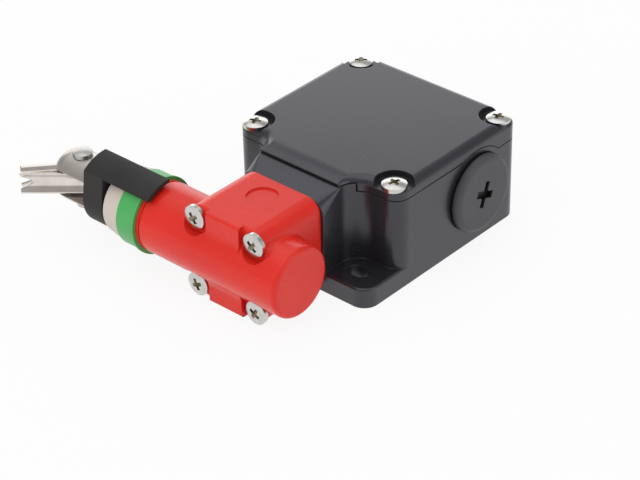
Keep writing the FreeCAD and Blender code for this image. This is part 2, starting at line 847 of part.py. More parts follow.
def make_head_body():
    body = new_body("head_body")
    middle = s.head_axis_height
    half = s.head_width / 2
    low = middle - s.head_height / 2
    high = middle + s.head_height / 2
    sketch = sketch_on(body, "XZ_Plane", s.neck_reach)
    rounded(sketch, -half, half, low, high, s.head_corner_radius)
    block = pad(body, sketch, s.head_depth)
    round_edges(body, block, s.head_edge_radius,
                lambda edge: edge.BoundBox.YMax < seat_y.value + tolerance)

    # The web between the screws, its front face run smoothly into the tube.
    back = -s.neck_reach
    face = back - s.head_depth - s.web_reach
    edge_radius = s.head_edge_radius
    bend_y = face - s.web_root_radius
    bend_rise = leg(s.tube_radius + s.web_root_radius, axis_y - bend_y)
    share = s.tube_radius / (s.tube_radius + s.web_root_radius)
    touch_y = axis_y - (axis_y - bend_y) * share
    touch_rise = bend_rise * share
    sketch = sketch_on(body, "YZ_Plane")
    loop(sketch, (back, low), (back, high), (face + edge_radius, high),
         (face, high - edge_radius, face + edge_radius, high - edge_radius, 1),
         (face, middle + bend_rise),
         (touch_y, middle + touch_rise, bend_y, middle + bend_rise, -1),
         (touch_y, middle - touch_rise),
         (face, middle - bend_rise, bend_y, middle - bend_rise, -1),
         (face, low + edge_radius),
         (face + edge_radius, low, face + edge_radius, low + edge_radius, 1))
    pad(body, sketch, s.web_width, both_sides=True)

    sketch = sketch_on(body, "YZ_Plane", tube_open)
    disc(sketch, axis_y, middle, s.tube_radius)
    tube = pad(body, sketch, s.tube_open_reach + s.tube_closed_reach)
    root = round_edges(body, tube, s.tube_root_radius, lambda edge: lies_round_tube(edge, half))
    round_edges(body, root, s.tube_edge_radius,
                lambda edge: edge.BoundBox.XMin > s.tube_closed_reach.value - tolerance)

    # Seats for the four screws, cut back into the tube, each with a full wall round its hole.
    sketch = sketch_on(body, "XZ_Plane", s.neck_reach)
    for x, z in head_screw_places():
        disc(sketch, x, z, screw_boss)
    pad(body, sketch, s.head_depth)
    sketch = sketch_on(body, "XZ_Plane", s.neck_reach + s.head_depth)
    for x, z in head_screw_places():
        disc(sketch, x, z, s.spot_face_radius)
    cut(body, sketch, s.tube_radius, reverse=True)
    sketch = sketch_on(body, "XZ_Plane", s.neck_reach + s.head_depth)
    for x, z in head_screw_places():
        disc(sketch, x, z, s.screw_radius + s.screw_play)
    cut(body, sketch, s.head_depth)

    sketch = sketch_on(body, "YZ_Plane", tube_open)
    disc(sketch, axis_y, middle, s.tube_bore_radius)
    cut(body, sketch, s.tube_open_reach + tube_bottom, reverse=True)
    sketch = sketch_on(body, "XZ_Plane", s.neck_reach)
    disc(sketch, zero, middle, s.guide_radius + s.running_gap)
    cut(body, sketch, s.tube_axis_reach, reverse=True)

    # Shallow round mark on top and a fine groove behind the open end of the tube.
    sketch = sketch_on(body, "XY_Plane", high)
    disc(sketch, zero, -(s.neck_reach + s.top_mark_reach), s.top_mark_radius)
    cut(body, sketch, s.top_mark_depth)
    sketch = sketch_on(body, "YZ_Plane", tube_open + s.tube_groove_inset)
    disc(sketch, axis_y, middle, s.tube_radius + s.cut_margin)
    disc(sketch, axis_y, middle, s.tube_radius - s.tube_groove_depth)
    cut(body, sketch, s.tube_groove_width)

    # Groove for the gasket on the face that meets the neck.
    sketch = sketch_on(body, "XZ_Plane", s.neck_reach)
    disc(sketch, zero, middle, s.head_gasket_radius)
    disc(sketch, zero, middle, s.head_gasket_radius - s.head_gasket_width)
    cut(body, sketch, s.head_gasket_depth, reverse=True)
    keep(body, "head_body")


def make_head_gasket():
    body = new_body("head_gasket")
    sketch = sketch_on(body, "XZ_Plane", s.neck_reach)
    disc(sketch, zero, s.head_axis_height, s.head_gasket_radius - s.running_gap)
    disc(sketch, zero, s.head_axis_height, s.head_gasket_radius - s.head_gasket_width + s.running_gap)
    pad(body, sketch, s.head_gasket_depth)
    keep(body, "head_gasket")


def on_pull_axis(item):
    place(item, zero, axis_y, s.head_axis_height)


def turned_on_pull_axis(name, *corners):
    # A piece turned about the pull axis from an outline of (x, radius).
    body = new_body(name)
    sketch = sketch_on(body, "XY_Plane")
    loop(sketch, *corners)
    revolve(body, sketch, "H_Axis")
    on_pull_axis(body)
    return body


def make_green_ring():
    bore = s.tube_bore_radius
    rim = tube_open - s.green_rim_width
    body = turned_on_pull_axis(
        "green_ring", (ring_front, bore), (tube_open, bore), (tube_open, ring_rim),
        (rim, ring_rim), (rim, s.green_ring_radius), (ring_front, s.green_ring_radius))
    keep(body, "green_ring")


def make_front_bush():
    spigot = s.tube_bore_radius - s.running_gap
    bore = s.rod_radius + s.running_gap
    seal = bush_front + s.rod_seal_length
    end = ring_front + s.bush_spigot_length
    pocket = s.spring_radius + s.spring_wire_radius + s.spring_gap
    flange = s.green_ring_radius - s.bush_step
    body = turned_on_pull_axis(
        "front_bush", (bush_front, s.rod_seal_radius), (seal, s.rod_seal_radius), (seal, bore),
        (spring_floor, bore), (spring_floor, pocket), (end, pocket), (end, spigot),
        (ring_front, spigot), (ring_front, flange), (bush_front, flange - s.bush_taper))
    keep(body, "front_bush")


def make_rod_seal():
    seal = bush_front + s.rod_seal_length
    inside = s.rod_radius + s.running_gap
    outside = s.rod_seal_radius - s.running_gap
    body = turned_on_pull_axis(
        "rod_seal", (bush_front, inside), (seal, inside), (seal, outside), (bush_front, outside))
    keep(body, "rod_seal")


def make_pull_rod():
    front = collar_front + s.clevis_web
    body = turned_on_pull_axis(
        "pull_rod", (front, zero), (tube_bottom, zero), (tube_bottom, s.rod_radius), (front, s.rod_radius))
    keep(body, "pull_rod")


def make_cam_sleeve():
    # The cone falls from a step in front of the land to a short neck.
    bore = s.rod_radius + s.running_gap
    front = -s.cam_front
    neck = bore + s.cam_neck_wall
    foot = (neck - cam_radius) / s.cam_slope
    body = turned_on_pull_axis(
        "cam_sleeve", (front, bore), (tube_bottom, bore), (tube_bottom, cam_land_radius),
        (cam_land, cam_land_radius), (cam_land, cam_land_radius - s.cam_step), (foot, neck), (front, neck))
    keep(body, "cam_sleeve")


def make_spring_seat():
    bore = s.rod_radius + s.running_gap
    back = -s.cam_front
    front = back - s.spring_seat_thickness
    radius = s.spring_seat_radius
    body = turned_on_pull_axis("spring_seat", (front, bore), (back, bore), (back, radius), (front, radius))
    keep(body, "spring_seat")


def make_coil_spring(name, radius, wire, turns, length):
    # Round wire swept along a helix about local Z, starting with its lowest point on z = 0.
    helix = doc.addObject("Part::Helix", name + "_helix")
    rise = length - wire * 2
    helix.setExpression("Radius", formula(radius))
    helix.setExpression("Height", formula(rise))
    helix.setExpression("Pitch", formula(rise / turns))
    helix.setExpression("Placement.Base.z", formula(wire))
    section = doc.addObject("Part::Circle", name + "_wire")
    section.setExpression("Radius", formula(wire))
    place(section, radius, zero, wire, axis=(1, 0, 0), angle=90)
    doc.recompute()
    spring = doc.addObject("Part::Sweep", name)
    spring.Sections = [section]
    spring.Spine = (helix, [f"Edge{index + 1}" for index in range(len(helix.Shape.Edges))])
    spring.Solid = True
    spring.Frenet = True
    return spring


def make_return_spring():
    end = -(s.cam_front + s.spring_seat_thickness)
    spring = make_coil_spring("return_spring", s.spring_radius, s.spring_wire_radius, s.spring_turns,
                              end - spring_floor)
    place(spring, spring_floor, axis_y, s.head_axis_height, axis=(0, 1, 0), angle=90)
    keep(spring, "return_spring")


def make_lock_nut():
    body = new_body("lock_nut")
    sketch = sketch_on(body, "YZ_Plane", clevis_back)
    flat = s.nut_flats / 2
    point = s.nut_flats / math.sqrt(3)
    side = point / 2
    loop(sketch, (-side, -flat), (side, -flat), (point, zero), (side, flat), (-side, flat), (-point, zero))
    disc(sketch, zero, zero, s.rod_radius + s.running_gap)
    pad(body, sketch, s.nut_thickness)
    on_pull_axis(body)
    keep(body, "lock_nut")


def make_clevis():
    nose = pin_x - s.clevis_radius
    slot = s.clevis_slot_height / 2
    # A turned bar whose rounded nose is then rounded about the pin too.
    r = s.clevis_radius
    bend = nose + s.clevis_nose_radius
    edge = r - s.clevis_nose_radius
    body = turned_on_pull_axis(
        "clevis", (nose, zero), (clevis_back, zero), (clevis_back, r), (bend, r), (nose, edge, bend, edge, 1))
    sketch = sketch_on(body, "XY_Plane")
    outside = r + s.cut_margin
    margin = nose - s.cut_margin
    loop(sketch, (margin, -outside), (pin_x, -outside), (pin_x, -r), (pin_x, r, pin_x, zero, -1),
         (pin_x, outside), (margin, outside))
    cut(body, sketch, outside * 2, both_sides=True)
    sketch = sketch_on(body, "XZ_Plane")
    rectangle(sketch, margin, collar_front - s.clevis_web, -slot, slot)
    cut(body, sketch, outside * 2, both_sides=True)
    sketch = sketch_on(body, "XY_Plane")
    disc(sketch, pin_x, zero, s.pin_radius + s.running_gap)
    cut(body, sketch, outside * 2, both_sides=True)
    # Flats under the two rivet heads.
    for side in (1, -1):
        sketch = sketch_on(body, "XY_Plane", pin_seat * side)
        disc(sketch, pin_x, zero, s.pin_head_radius + s.fit_gap)
        cut(body, sketch, r, reverse=side > 0)
    sketch = sketch_on(body, "YZ_Plane", clevis_back)
    disc(sketch, zero, zero, s.rod_radius + s.running_gap)
    cut(body, sketch, clevis_back - collar_front - s.clevis_web)
    keep(body, "clevis")


def make_clevis_pin():
    body = new_body("clevis_pin")
    seat = pin_seat
    top = seat + s.pin_head_height
    rise = s.pin_head_rise
    rim = top - rise
    head = s.pin_head_radius
    dome = (head * head + rise * rise) / (rise * 2)
    sketch = sketch_on(body, "XZ_Plane")
    loop(sketch, (zero, -top), (head, -rim, zero, dome - top, 1), (head, -seat),
         (s.pin_radius, -seat), (s.pin_radius, seat), (head, seat), (head, rim),
         (zero, top, zero, top - dome, 1))
    revolve(body, sketch, "V_Axis")
    place(body, pin_x, axis_y, s.head_axis_height)
    keep(body, "clevis_pin")


def make_indicator():
    # Collar round the clevis with a tongue that reaches over the rings. The outline is drawn with the
    # tongue upright, joined to the collar by tangents, and the piece is then turned about the pull axis.
    body = new_body("indicator")
    inner = ring_rim + s.tongue_gap
    outer = inner + s.tongue_thickness
    a = s.tongue_half_angle
    ratio = s.collar_radius / outer
    across = leg(one, ratio)
    # Where the tangents from the tongue's edges touch the collar.
    tangent_x = (sine(a) * ratio + cosine(a) * across) * s.collar_radius
    tangent_y = (cosine(a) * ratio - sine(a) * across) * s.collar_radius
    sketch = sketch_on(body, "YZ_Plane", collar_front)
    loop(sketch, (sine(a) * outer, cosine(a) * outer),
         (-sine(a) * outer, cosine(a) * outer, zero, zero, 1), (-tangent_x, tangent_y),
         (zero, -s.collar_radius, zero, zero, 1), (tangent_x, tangent_y, zero, zero, 1))
    disc(sketch, zero, zero, s.clevis_radius + s.running_gap)
    pad(body, sketch, s.collar_length)
    sketch = sketch_on(body, "YZ_Plane", collar_front)
    loop(sketch, (sine(a) * outer, cosine(a) * outer),
         (-sine(a) * outer, cosine(a) * outer, zero, zero, 1),
         (-sine(a) * inner, cosine(a) * inner),
         (sine(a) * inner, cosine(a) * inner, zero, zero, -1))
    pad(body, sketch, s.collar_length + s.tongue_reach)
    place(body, zero, axis_y, s.head_axis_height, axis=(1, 0, 0), angle=s.tongue_turn)
    keep(body, "indicator")


def make_rope_thimble():
    # Round-bottomed channel bent round the pin, open outwards. It is drawn pointing to -X.
    body = new_body("rope_thimble")
    groove = s.thimble_groove_radius
    back = groove + s.thimble_wall
    bend = s.pin_radius + s.thimble_play
    lean = s.thimble_lean
    near_x = -sine(lean) * bend
    near_y = cosine(lean) * bend
    run = s.thimble_reach - sine(lean) * bend
    far_x = -s.thimble_reach
    far_y = near_y - run * sine(lean) / cosine(lean)
    path = sketch_on(body, "XY_Plane")
    first = path.addGeometry([
        Part.LineSegment(flat_point((far_x, far_y)), flat_point((near_x, near_y))),
        arc_about(Vector(), flat_point((near_x, -near_y)), flat_point((near_x, near_y))),
        Part.LineSegment(flat_point((near_x, -near_y)), flat_point((far_x, -far_y))),
    ], False)[0]
    path.addConstraint(Sketcher.Constraint("Coincident", first, 2, first + 1, 2))
    path.addConstraint(Sketcher.Constraint("Coincident", first + 1, 1, first + 2, 1))
    for geometry, position, point in ((0, 1, (far_x, far_y)), (0, 2, (near_x, near_y)),
                                      (2, 1, (near_x, -near_y)), (2, 2, (far_x, -far_y))):
        fix(path, "DistanceX", geometry, position, point[0])
        fix(path, "DistanceY", geometry, position, point[1])
    fix(path, "DistanceX", 1, 3, zero)
    section = sketch_on(body, "YZ_Plane", far_x)
    centre = far_y + back
    spread = s.thimble_half_angle
    outer_y = centre - cosine(spread) * back
    outer_z = sine(spread) * back
    inner_y = centre - cosine(spread) * groove
    inner_z = sine(spread) * groove
    loop(section, (outer_y, -outer_z, centre, zero, 1), (inner_y, -inner_z),
         (inner_y, inner_z, centre, zero, -1), (outer_y, outer_z))
    channel = body.newObject("PartDesign::AdditivePipe", "rope_thimble_channel")
    channel.Profile = section
    channel.Spine = (path, ["Edge1", "Edge2", "Edge3"])
    # The ends of both legs are notched.
    sketch = sketch_on(body, "XZ_Plane")
    loop(sketch, (far_x - back, -back), (far_x + s.thimble_notch, zero), (far_x - back, back))
    cut(body, sketch, (centre + s.cut_margin) * 2, both_sides=True)
    place(body, pin_x, axis_y, s.head_axis_height, axis=(0, 0, 1), angle=s.thimble_turn)
    keep(body, "rope_thimble")


def turned_on_plunger_axis(name, *corners):
    # A piece turned about the plunger axis from an outline of (radius, y).
    body = new_body(name)
    sketch = sketch_on(body, "XY_Plane")
    loop(sketch, *corners)
    revolve(body, sketch, "V_Axis")
    place(body, zero, zero, s.head_axis_height)
    return body


def make_head_plunger():
    # The round tip rides on the cone of the cam.
    r = s.plunger_radius
    slant = root(s.cam_slope * s.cam_slope + one)
    ball_y = axis_y + cam_radius + (r + s.plunger_gap) * slant
    body = turned_on_plunger_axis(
        "head_plunger", (zero, ball_y - r), (r, ball_y, zero, ball_y, 1), (r, s.plunger_end),
        (zero, s.plunger_end))
    keep(body, "head_plunger")


def make_plunger_guide():
    front = axis_y + s.tube_bore_radius + s.guide_gap
    inside = s.plunger_radius + s.running_gap
    body = turned_on_plunger_axis(
        "plunger_guide", (inside, front), (s.guide_radius, front), (s.guide_radius, s.guide_back),
        (inside, s.guide_back))
    keep(body, "plunger_guide")


def make_plunger_seal():
    back = s.pocket_radius + wall
    inside = s.plunger_radius + s.running_gap
    body = turned_on_plunger_axis(
        "plunger_seal", (inside, s.guide_back), (s.plunger_seal_radius, s.guide_back),
        (s.plunger_seal_radius, back), (inside, back))
    keep(body, "plunger_seal")


def make_contact_block():
    body = new_body("contact_block_base")
    half = s.block_width / 2
    t = s.block_wall
    sketch = sketch_on(body, "XY_Plane", s.floor_thickness)
    rectangle(sketch, -half, half, s.block_front, block_back)
    pad(body, sketch, block_wall_top - s.floor_thickness)
    sketch = sketch_on(body, "XY_Plane", block_wall_top)
    rectangle(sketch, t - half, half - t, s.block_front + t, block_back - t)
    cut(body, sketch, block_wall_top - block_top)
    # Guide for the slider in the front wall.
    sketch = sketch_on(body, "XZ_Plane", -s.block_front)
    reach = slider_half + s.slider_play
    rectangle(sketch, -reach, reach, s.head_axis_height - reach, block_wall_top + s.block_wall)
    cut(body, sketch, t + s.cut_margin)
    sketch = sketch_on(body, "XY_Plane", block_wall_top)
    for x, y in terminal_places():
        disc(sketch, x, y, s.terminal_screw_radius + s.thread_gap)
    cut(body, sketch, s.terminal_reach)
    sketch = sketch_on(body, "XY_Plane", block_top)
    for x, y in block_screw_places():
        disc(sketch, x, y, s.block_screw_radius + s.screw_play)
    cut(body, sketch, s.block_floor + s.cut_margin)
    keep(body, "contact_block_base")


def contact_faces():
    # Centre of each fixed contact's tab along Y: ahead of the first bridge, behind the second.
    t = s.contact_thickness / 2
    closed = s.bridge_front - t
    open_ = s.bridge_front + s.bridge_spacing + s.bridge_thickness + s.contact_travel + t
    return closed, open_


def terminal_places():
    return [(x, y) for y in contact_faces() for x in (-terminal_x, terminal_x)]


def make_fixed_contacts():
    contacts = []
    outer = s.block_width / 2
    inner = s.bridge_width / 2 - s.contact_overlap
    low = block_wall_top
    high = low + s.contact_thickness
    foot = s.head_axis_height - s.bridge_height / 2
    tab = inner + s.contact_overlap
    for y in contact_faces():
        for side in (1, -1):
            body = new_body("fixed_contact")
            sketch = sketch_on(body, "XY_Plane", low)
            ends = sorted((inner * side, outer * side), key=number)
            rectangle(sketch, ends[0], ends[1], y - s.contact_width / 2, y + s.contact_width / 2)
            disc(sketch, terminal_x * side, y, s.terminal_screw_radius + s.screw_play)
            pad(body, sketch, s.contact_thickness)
            sketch = sketch_on(body, "XY_Plane", foot)
            ends = sorted((inner * side, tab * side), key=number)
            rectangle(sketch, ends[0], ends[1], y - s.contact_thickness / 2, y + s.contact_thickness / 2)
            pad(body, sketch, high - foot)
            contacts.append(body)
    group("fixed_contacts", contacts)


def make_terminal_clamps():
    clamps = []
    half = s.contact_width / 2
    for x, y in terminal_places():
        body = new_body("terminal_clamp")
        sketch = sketch_on(body, "XY_Plane", block_wall_top + s.contact_thickness)
        rectangle(sketch, x - half, x + half, y - half, y + half)
        disc(sketch, x, y, s.terminal_screw_radius + s.screw_play)
        pad(body, sketch, s.clamp_thickness)
        clamps.append(body)
    group("terminal_clamps", clamps)


def make_terminal_screws():
    screws = []
    seat = block_wall_top + s.contact_thickness + s.clamp_thickness
    for x, y in terminal_places():
        screw = make_screw("terminal_screw", s.terminal_screw_radius, s.terminal_head_radius,
                           s.terminal_head_height, s.terminal_head_height / 2,
                           seat - block_wall_top + s.terminal_reach - s.screw_play)
        place(screw, x, y, seat)
        screws.append(screw)
    group("terminal_screws", screws)


def make_block_screws():
    screws = []
    for x, y in block_screw_places():
        screw = make_screw("block_screw", s.block_screw_radius, s.block_screw_head_radius,
                           s.block_screw_head_height, s.block_screw_head_height / 2,
                           s.block_floor + s.block_screw_reach)
        place(screw, x, y, block_top)
        screws.append(screw)
    group("contact_block_screws", screws)


def make_earth_screw():
    screw = make_screw("earth_screw", s.screw_radius, s.screw_head_radius, s.screw_head_height,
                       s.screw_head_rim, s.earth_boss_height - s.screw_play)
    add_cross_recess(screw, s.screw_head_height)
    place(screw, s.earth_x, s.earth_y, s.floor_thickness + s.earth_boss_height)
    keep(screw, "earth_screw")


def bridge_places():
    return (s.bridge_front, s.bridge_front + s.bridge_spacing)


def make_contact_slider():
    body = new_body("contact_slider")
    middle = s.head_axis_height
    sketch = sketch_on(body, "XY_Plane", middle)
    rectangle(sketch, -slider_half, slider_half, s.plunger_end, s.plunger_end + s.slider_length)
    pad(body, sketch, s.slider_width, both_sides=True)
    sketch = sketch_on(body, "YZ_Plane")
    high = middle + s.bridge_height / 2 + s.thread_gap
    for y in bridge_places():
        rectangle(sketch, y, y + s.bridge_thickness, middle - s.bridge_height / 2, high)
    cut(body, sketch, s.slider_width + s.cut_margin, both_sides=True)
    keep(body, "contact_slider")


def make_contact_bridges():
    bridges = []
    for y in bridge_places():
        body = new_body("contact_bridge")
        sketch = sketch_on(body, "XY_Plane", s.head_axis_height)
        rectangle(sketch, -s.bridge_width / 2, s.bridge_width / 2, y, y + s.bridge_thickness)
        pad(body, sketch, s.bridge_height, both_sides=True)
        bridges.append(body)
    group("contact_bridges", bridges)


def make_contact_spring():
    start = s.plunger_end + s.slider_length
    spring = make_coil_spring("contact_spring", s.contact_spring_radius, s.contact_spring_wire,
                              s.contact_spring_turns, block_back - s.block_wall - start)
    place(spring, zero, start, s.head_axis_height, axis=(1, 0, 0), angle=-90)
    keep(spring, "contact_spring")


make_housing()
make_lid()
make_lid_gasket()
make_lid_screws()
make_conduit_plugs()
make_plug_seals()
make_head_body()
make_head_gasket()
make_head_screws()
make_green_ring()
make_front_bush()
make_rod_seal()
make_pull_rod()
make_cam_sleeve()
make_spring_seat()
make_return_spring()
make_lock_nut()
make_clevis()
make_clevis_pin()
make_indicator()
make_rope_thimble()
make_head_plunger()
make_plunger_guide()
make_plunger_seal()
make_contact_block()
make_block_screws()
make_fixed_contacts()
make_terminal_clamps()
make_terminal_screws()
make_earth_screw()
make_contact_slider()
make_contact_bridges()
make_contact_spring()
doc.recompute()

for item in doc.Objects:
    if "Invalid" in item.State or "Error" in item.State:
        raise RuntimeError(f"{item.Label} failed: {item.State}")
    if item.TypeId == "PartDesign::Pocket":
        if item.Shape.Volume > item.BaseFeature.Shape.Volume - tolerance:
            raise RuntimeError(f"{item.Label} cuts nothing")
for node in nodes:
    if node.Shape.isNull() or not node.Shape.isValid():
        raise RuntimeError(f"{node.Label} has no sound shape")

os.makedirs("parts", exist_ok=True)
for node in nodes:
    node.Shape.exportStep(f"parts/{node.Label}.step")
    print(node.Label, len(node.Shape.Solids), round(node.Shape.Volume, 1))
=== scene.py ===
import json
import math

import bpy
from mathutils import Matrix, Vector


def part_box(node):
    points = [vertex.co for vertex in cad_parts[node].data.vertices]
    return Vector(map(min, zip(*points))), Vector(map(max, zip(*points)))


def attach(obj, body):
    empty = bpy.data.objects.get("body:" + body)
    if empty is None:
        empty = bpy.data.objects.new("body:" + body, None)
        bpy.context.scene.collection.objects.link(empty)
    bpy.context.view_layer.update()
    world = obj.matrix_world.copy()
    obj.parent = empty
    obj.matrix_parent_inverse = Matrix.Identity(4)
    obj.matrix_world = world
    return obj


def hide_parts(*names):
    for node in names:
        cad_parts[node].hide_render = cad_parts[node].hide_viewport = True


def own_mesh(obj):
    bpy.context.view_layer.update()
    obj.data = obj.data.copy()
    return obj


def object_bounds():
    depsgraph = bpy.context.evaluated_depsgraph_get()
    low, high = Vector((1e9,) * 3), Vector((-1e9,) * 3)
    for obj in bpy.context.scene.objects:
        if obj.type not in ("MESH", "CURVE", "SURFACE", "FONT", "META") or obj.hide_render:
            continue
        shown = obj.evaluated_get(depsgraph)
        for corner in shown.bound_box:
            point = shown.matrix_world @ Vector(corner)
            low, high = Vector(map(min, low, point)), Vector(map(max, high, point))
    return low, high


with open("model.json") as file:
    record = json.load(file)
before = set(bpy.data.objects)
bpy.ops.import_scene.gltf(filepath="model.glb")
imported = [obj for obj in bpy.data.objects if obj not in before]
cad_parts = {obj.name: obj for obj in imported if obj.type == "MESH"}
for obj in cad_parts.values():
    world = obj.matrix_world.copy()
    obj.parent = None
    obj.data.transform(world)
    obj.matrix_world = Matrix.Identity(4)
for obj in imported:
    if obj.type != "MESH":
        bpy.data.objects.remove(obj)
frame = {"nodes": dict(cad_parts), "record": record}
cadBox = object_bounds()
print("frame loaded,", len(frame["nodes"]), "nodes")

mm = 0.001
quarterTurn = math.pi / 2
pureWhite = (1.0, 1.0, 1.0, 1.0)


# node trees, for shaders and for geometry

class Wire:
    # wraps one socket of a node tree, so that sums on sockets read as plain arithmetic
    def __init__(self, tree, socket=None):
        self.tree = tree
        self.socket = socket

    def node(self, kind, settings=None, values=None, output=0):
        made = self.tree.nodes.new(kind)
        for key, value in (settings or {}).items():
            setattr(made, key, value)
        for key, value in (values or {}).items():
            for part in value if isinstance(value, list) else [value]:
                if isinstance(part, Wire):
                    self.tree.links.new(part.socket, made.inputs[key])
                else:
                    made.inputs[key].default_value = part
        return Wire(self.tree, made.outputs[output] if made.outputs else None)

    def maths(self, operation, first, second=0.0):
        return self.node("ShaderNodeMath", {"operation": operation}, {0: first, 1: second})

    def __add__(self, other):
        return self.maths("ADD", self, other)

    def __radd__(self, other):
        return self.maths("ADD", other, self)

    def __sub__(self, other):
        return self.maths("SUBTRACT", self, other)

    def __rsub__(self, other):
        return self.maths("SUBTRACT", other, self)

    def __mul__(self, other):
        return self.maths("MULTIPLY", self, other)

    def __rmul__(self, other):
        return self.maths("MULTIPLY", other, self)

    def __truediv__(self, other):
        return self.maths("DIVIDE", self, other)

    def __pow__(self, other):
        return self.maths("POWER", self, other)


def stretch(value, low, high, start=0.0, end=1.0):
    # maps low to start and high to end, and holds the ends
    limits = {"Value": value, "From Min": low, "From Max": high, "To Min": start, "To Max": end}
    return value.node("ShaderNodeMapRange", {"clamp": True}, limits)


# materials

finishRules = {
    "cloudSpan": (0.3, 0.7),
    "stainRoughness": 0.08,
    "dustSpan": (0.70, 0.78),
    "dustRoughness": 0.1,
    "recessSpan": (0.05, 0.45),
    "reliefHeight": 0.1 * mm,
    "edgeSamples": 6,
}
evenly = (1.0, 1.0, 1.0)


def newFinish(name):
    material = bpy.data.materials.new(name)
    material.use_nodes = True
    material.node_tree.nodes.clear()
    return material, Wire(material.node_tree)


def grain(place, scale, detail, squeeze=evenly):
    # smooth noise on object coordinates, drawn out where squeeze is not even
    if squeeze != evenly:
        place = place.node("ShaderNodeMapping", None, {"Vector": place, "Scale": squeeze})
    return place.node("ShaderNodeTexNoise", None, {"Vector": place, "Scale": scale, "Detail": detail})


def blendColour(share, first, second):
    # inputs 6 and 7 and output 2 are the mix node's colours; each colour is a socket or three values
    first, second = (colour if isinstance(colour, Wire) else (*colour, 1.0) for colour in (first, second))
    return share.node("ShaderNodeMix", {"data_type": "RGBA"}, {"Factor": share, 6: first, 7: second}, 2)


def cloudyShade(cloud, look):
    return blendColour(stretch(cloud, *finishRules["cloudSpan"]), look["shade"], look["tint"])


def softNormal(wire, edge, height, strength):
    # fine relief on top of slightly eased edges
    eased = wire.node("ShaderNodeBevel", {"samples": finishRules["edgeSamples"]}, {"Radius": edge})
    return wire.node("ShaderNodeBump", None, {
        "Strength": strength, "Distance": finishRules["reliefHeight"], "Height": height, "Normal": eased})


def paintRecessShade(wire, look, shade):
    # painted shade: darker towards the bottom of a driver recess, where the piece has one
    if "recessShade" not in look:
        return shade
    depth = wire.node("ShaderNodeAttribute", {"attribute_name": "recess"}, output="Fac")
    return blendColour(stretch(depth, *finishRules["recessSpan"]), shade, look["recessShade"])


def closeFinish(wire, sockets):
    shader = wire.node("ShaderNodeBsdfPrincipled", None, sockets)
    wire.node("ShaderNodeOutputMaterial", None, {"Surface": shader})


def paintFinish(name, look):
    # gloss coat on a casting: even colour, slow cloudiness, faint orange peel and a few specks of dust
    material, wire = newFinish(name)
    place = wire.node("ShaderNodeTexCoord", output="Object")
    cloud = grain(place, look["cloudScale"], detail=3.0)
    peel = grain(place, look["peelScale"], detail=2.0)
    dust = grain(place, look["dustScale"], detail=1.0)
    specks = stretch(dust, *finishRules["dustSpan"])
    roughness = (look["roughness"] + (cloud - 0.5) * look["roughnessSpread"]
                 + specks * finishRules["dustRoughness"])
    closeFinish(wire, {
        "Base Color": blendColour(specks * look["dustShare"], cloudyShade(cloud, look), look["dustShade"]),
        "Roughness": roughness,
        "Specular IOR Level": look["specular"],
        "Specular Tint": (*look["gleam"], 1.0),
        "Normal": softNormal(wire, look["edge"], peel, look["peel"]),
    })
    return material


def mouldFinish(name, look):
    # moulded plastic or rubber: fine spark-eroded grain, slow change of tone
    material, wire = newFinish(name)
    place = wire.node("ShaderNodeTexCoord", output="Object")
    cloud = grain(place, look["cloudScale"], detail=3.0)
    fine = grain(place, look["grainScale"], detail=3.0)
    closeFinish(wire, {
        # painted shade in a driver recess, where the look has one
        "Base Color": paintRecessShade(wire, look, cloudyShade(cloud, look)),
        "Roughness": look["roughness"] + (fine - 0.5) * look["roughnessSpread"],
        "Specular IOR Level": look["specular"],
        "Normal": softNormal(wire, look["edge"], fine, look["grain"]),
    })
    return material


def metalFinish(name, look):
    # plated, ground or drawn metal: streaks along one direction, faint stains in the tone
    material, wire = newFinish(name)
    place = wire.node("ShaderNodeTexCoord", output="Object")
    cloud = grain(place, look["cloudScale"], detail=4.0)
    streak = grain(place, look["streakScale"], detail=3.0, squeeze=look["squeeze"])
    roughness = (look["roughness"] + (streak - 0.5) * look["roughnessSpread"]
                 + (cloud - 0.5) * finishRules["stainRoughness"])
    closeFinish(wire, {
        # painted shade in a driver recess, where the look has one
        "Base Color": paintRecessShade(wire, look, cloudyShade(cloud, look)),
        "Metallic": 1.0,
        "Roughness": roughness,
        "Normal": softNormal(wire, look["edge"], streak, look["streak"]),
    })
    return material


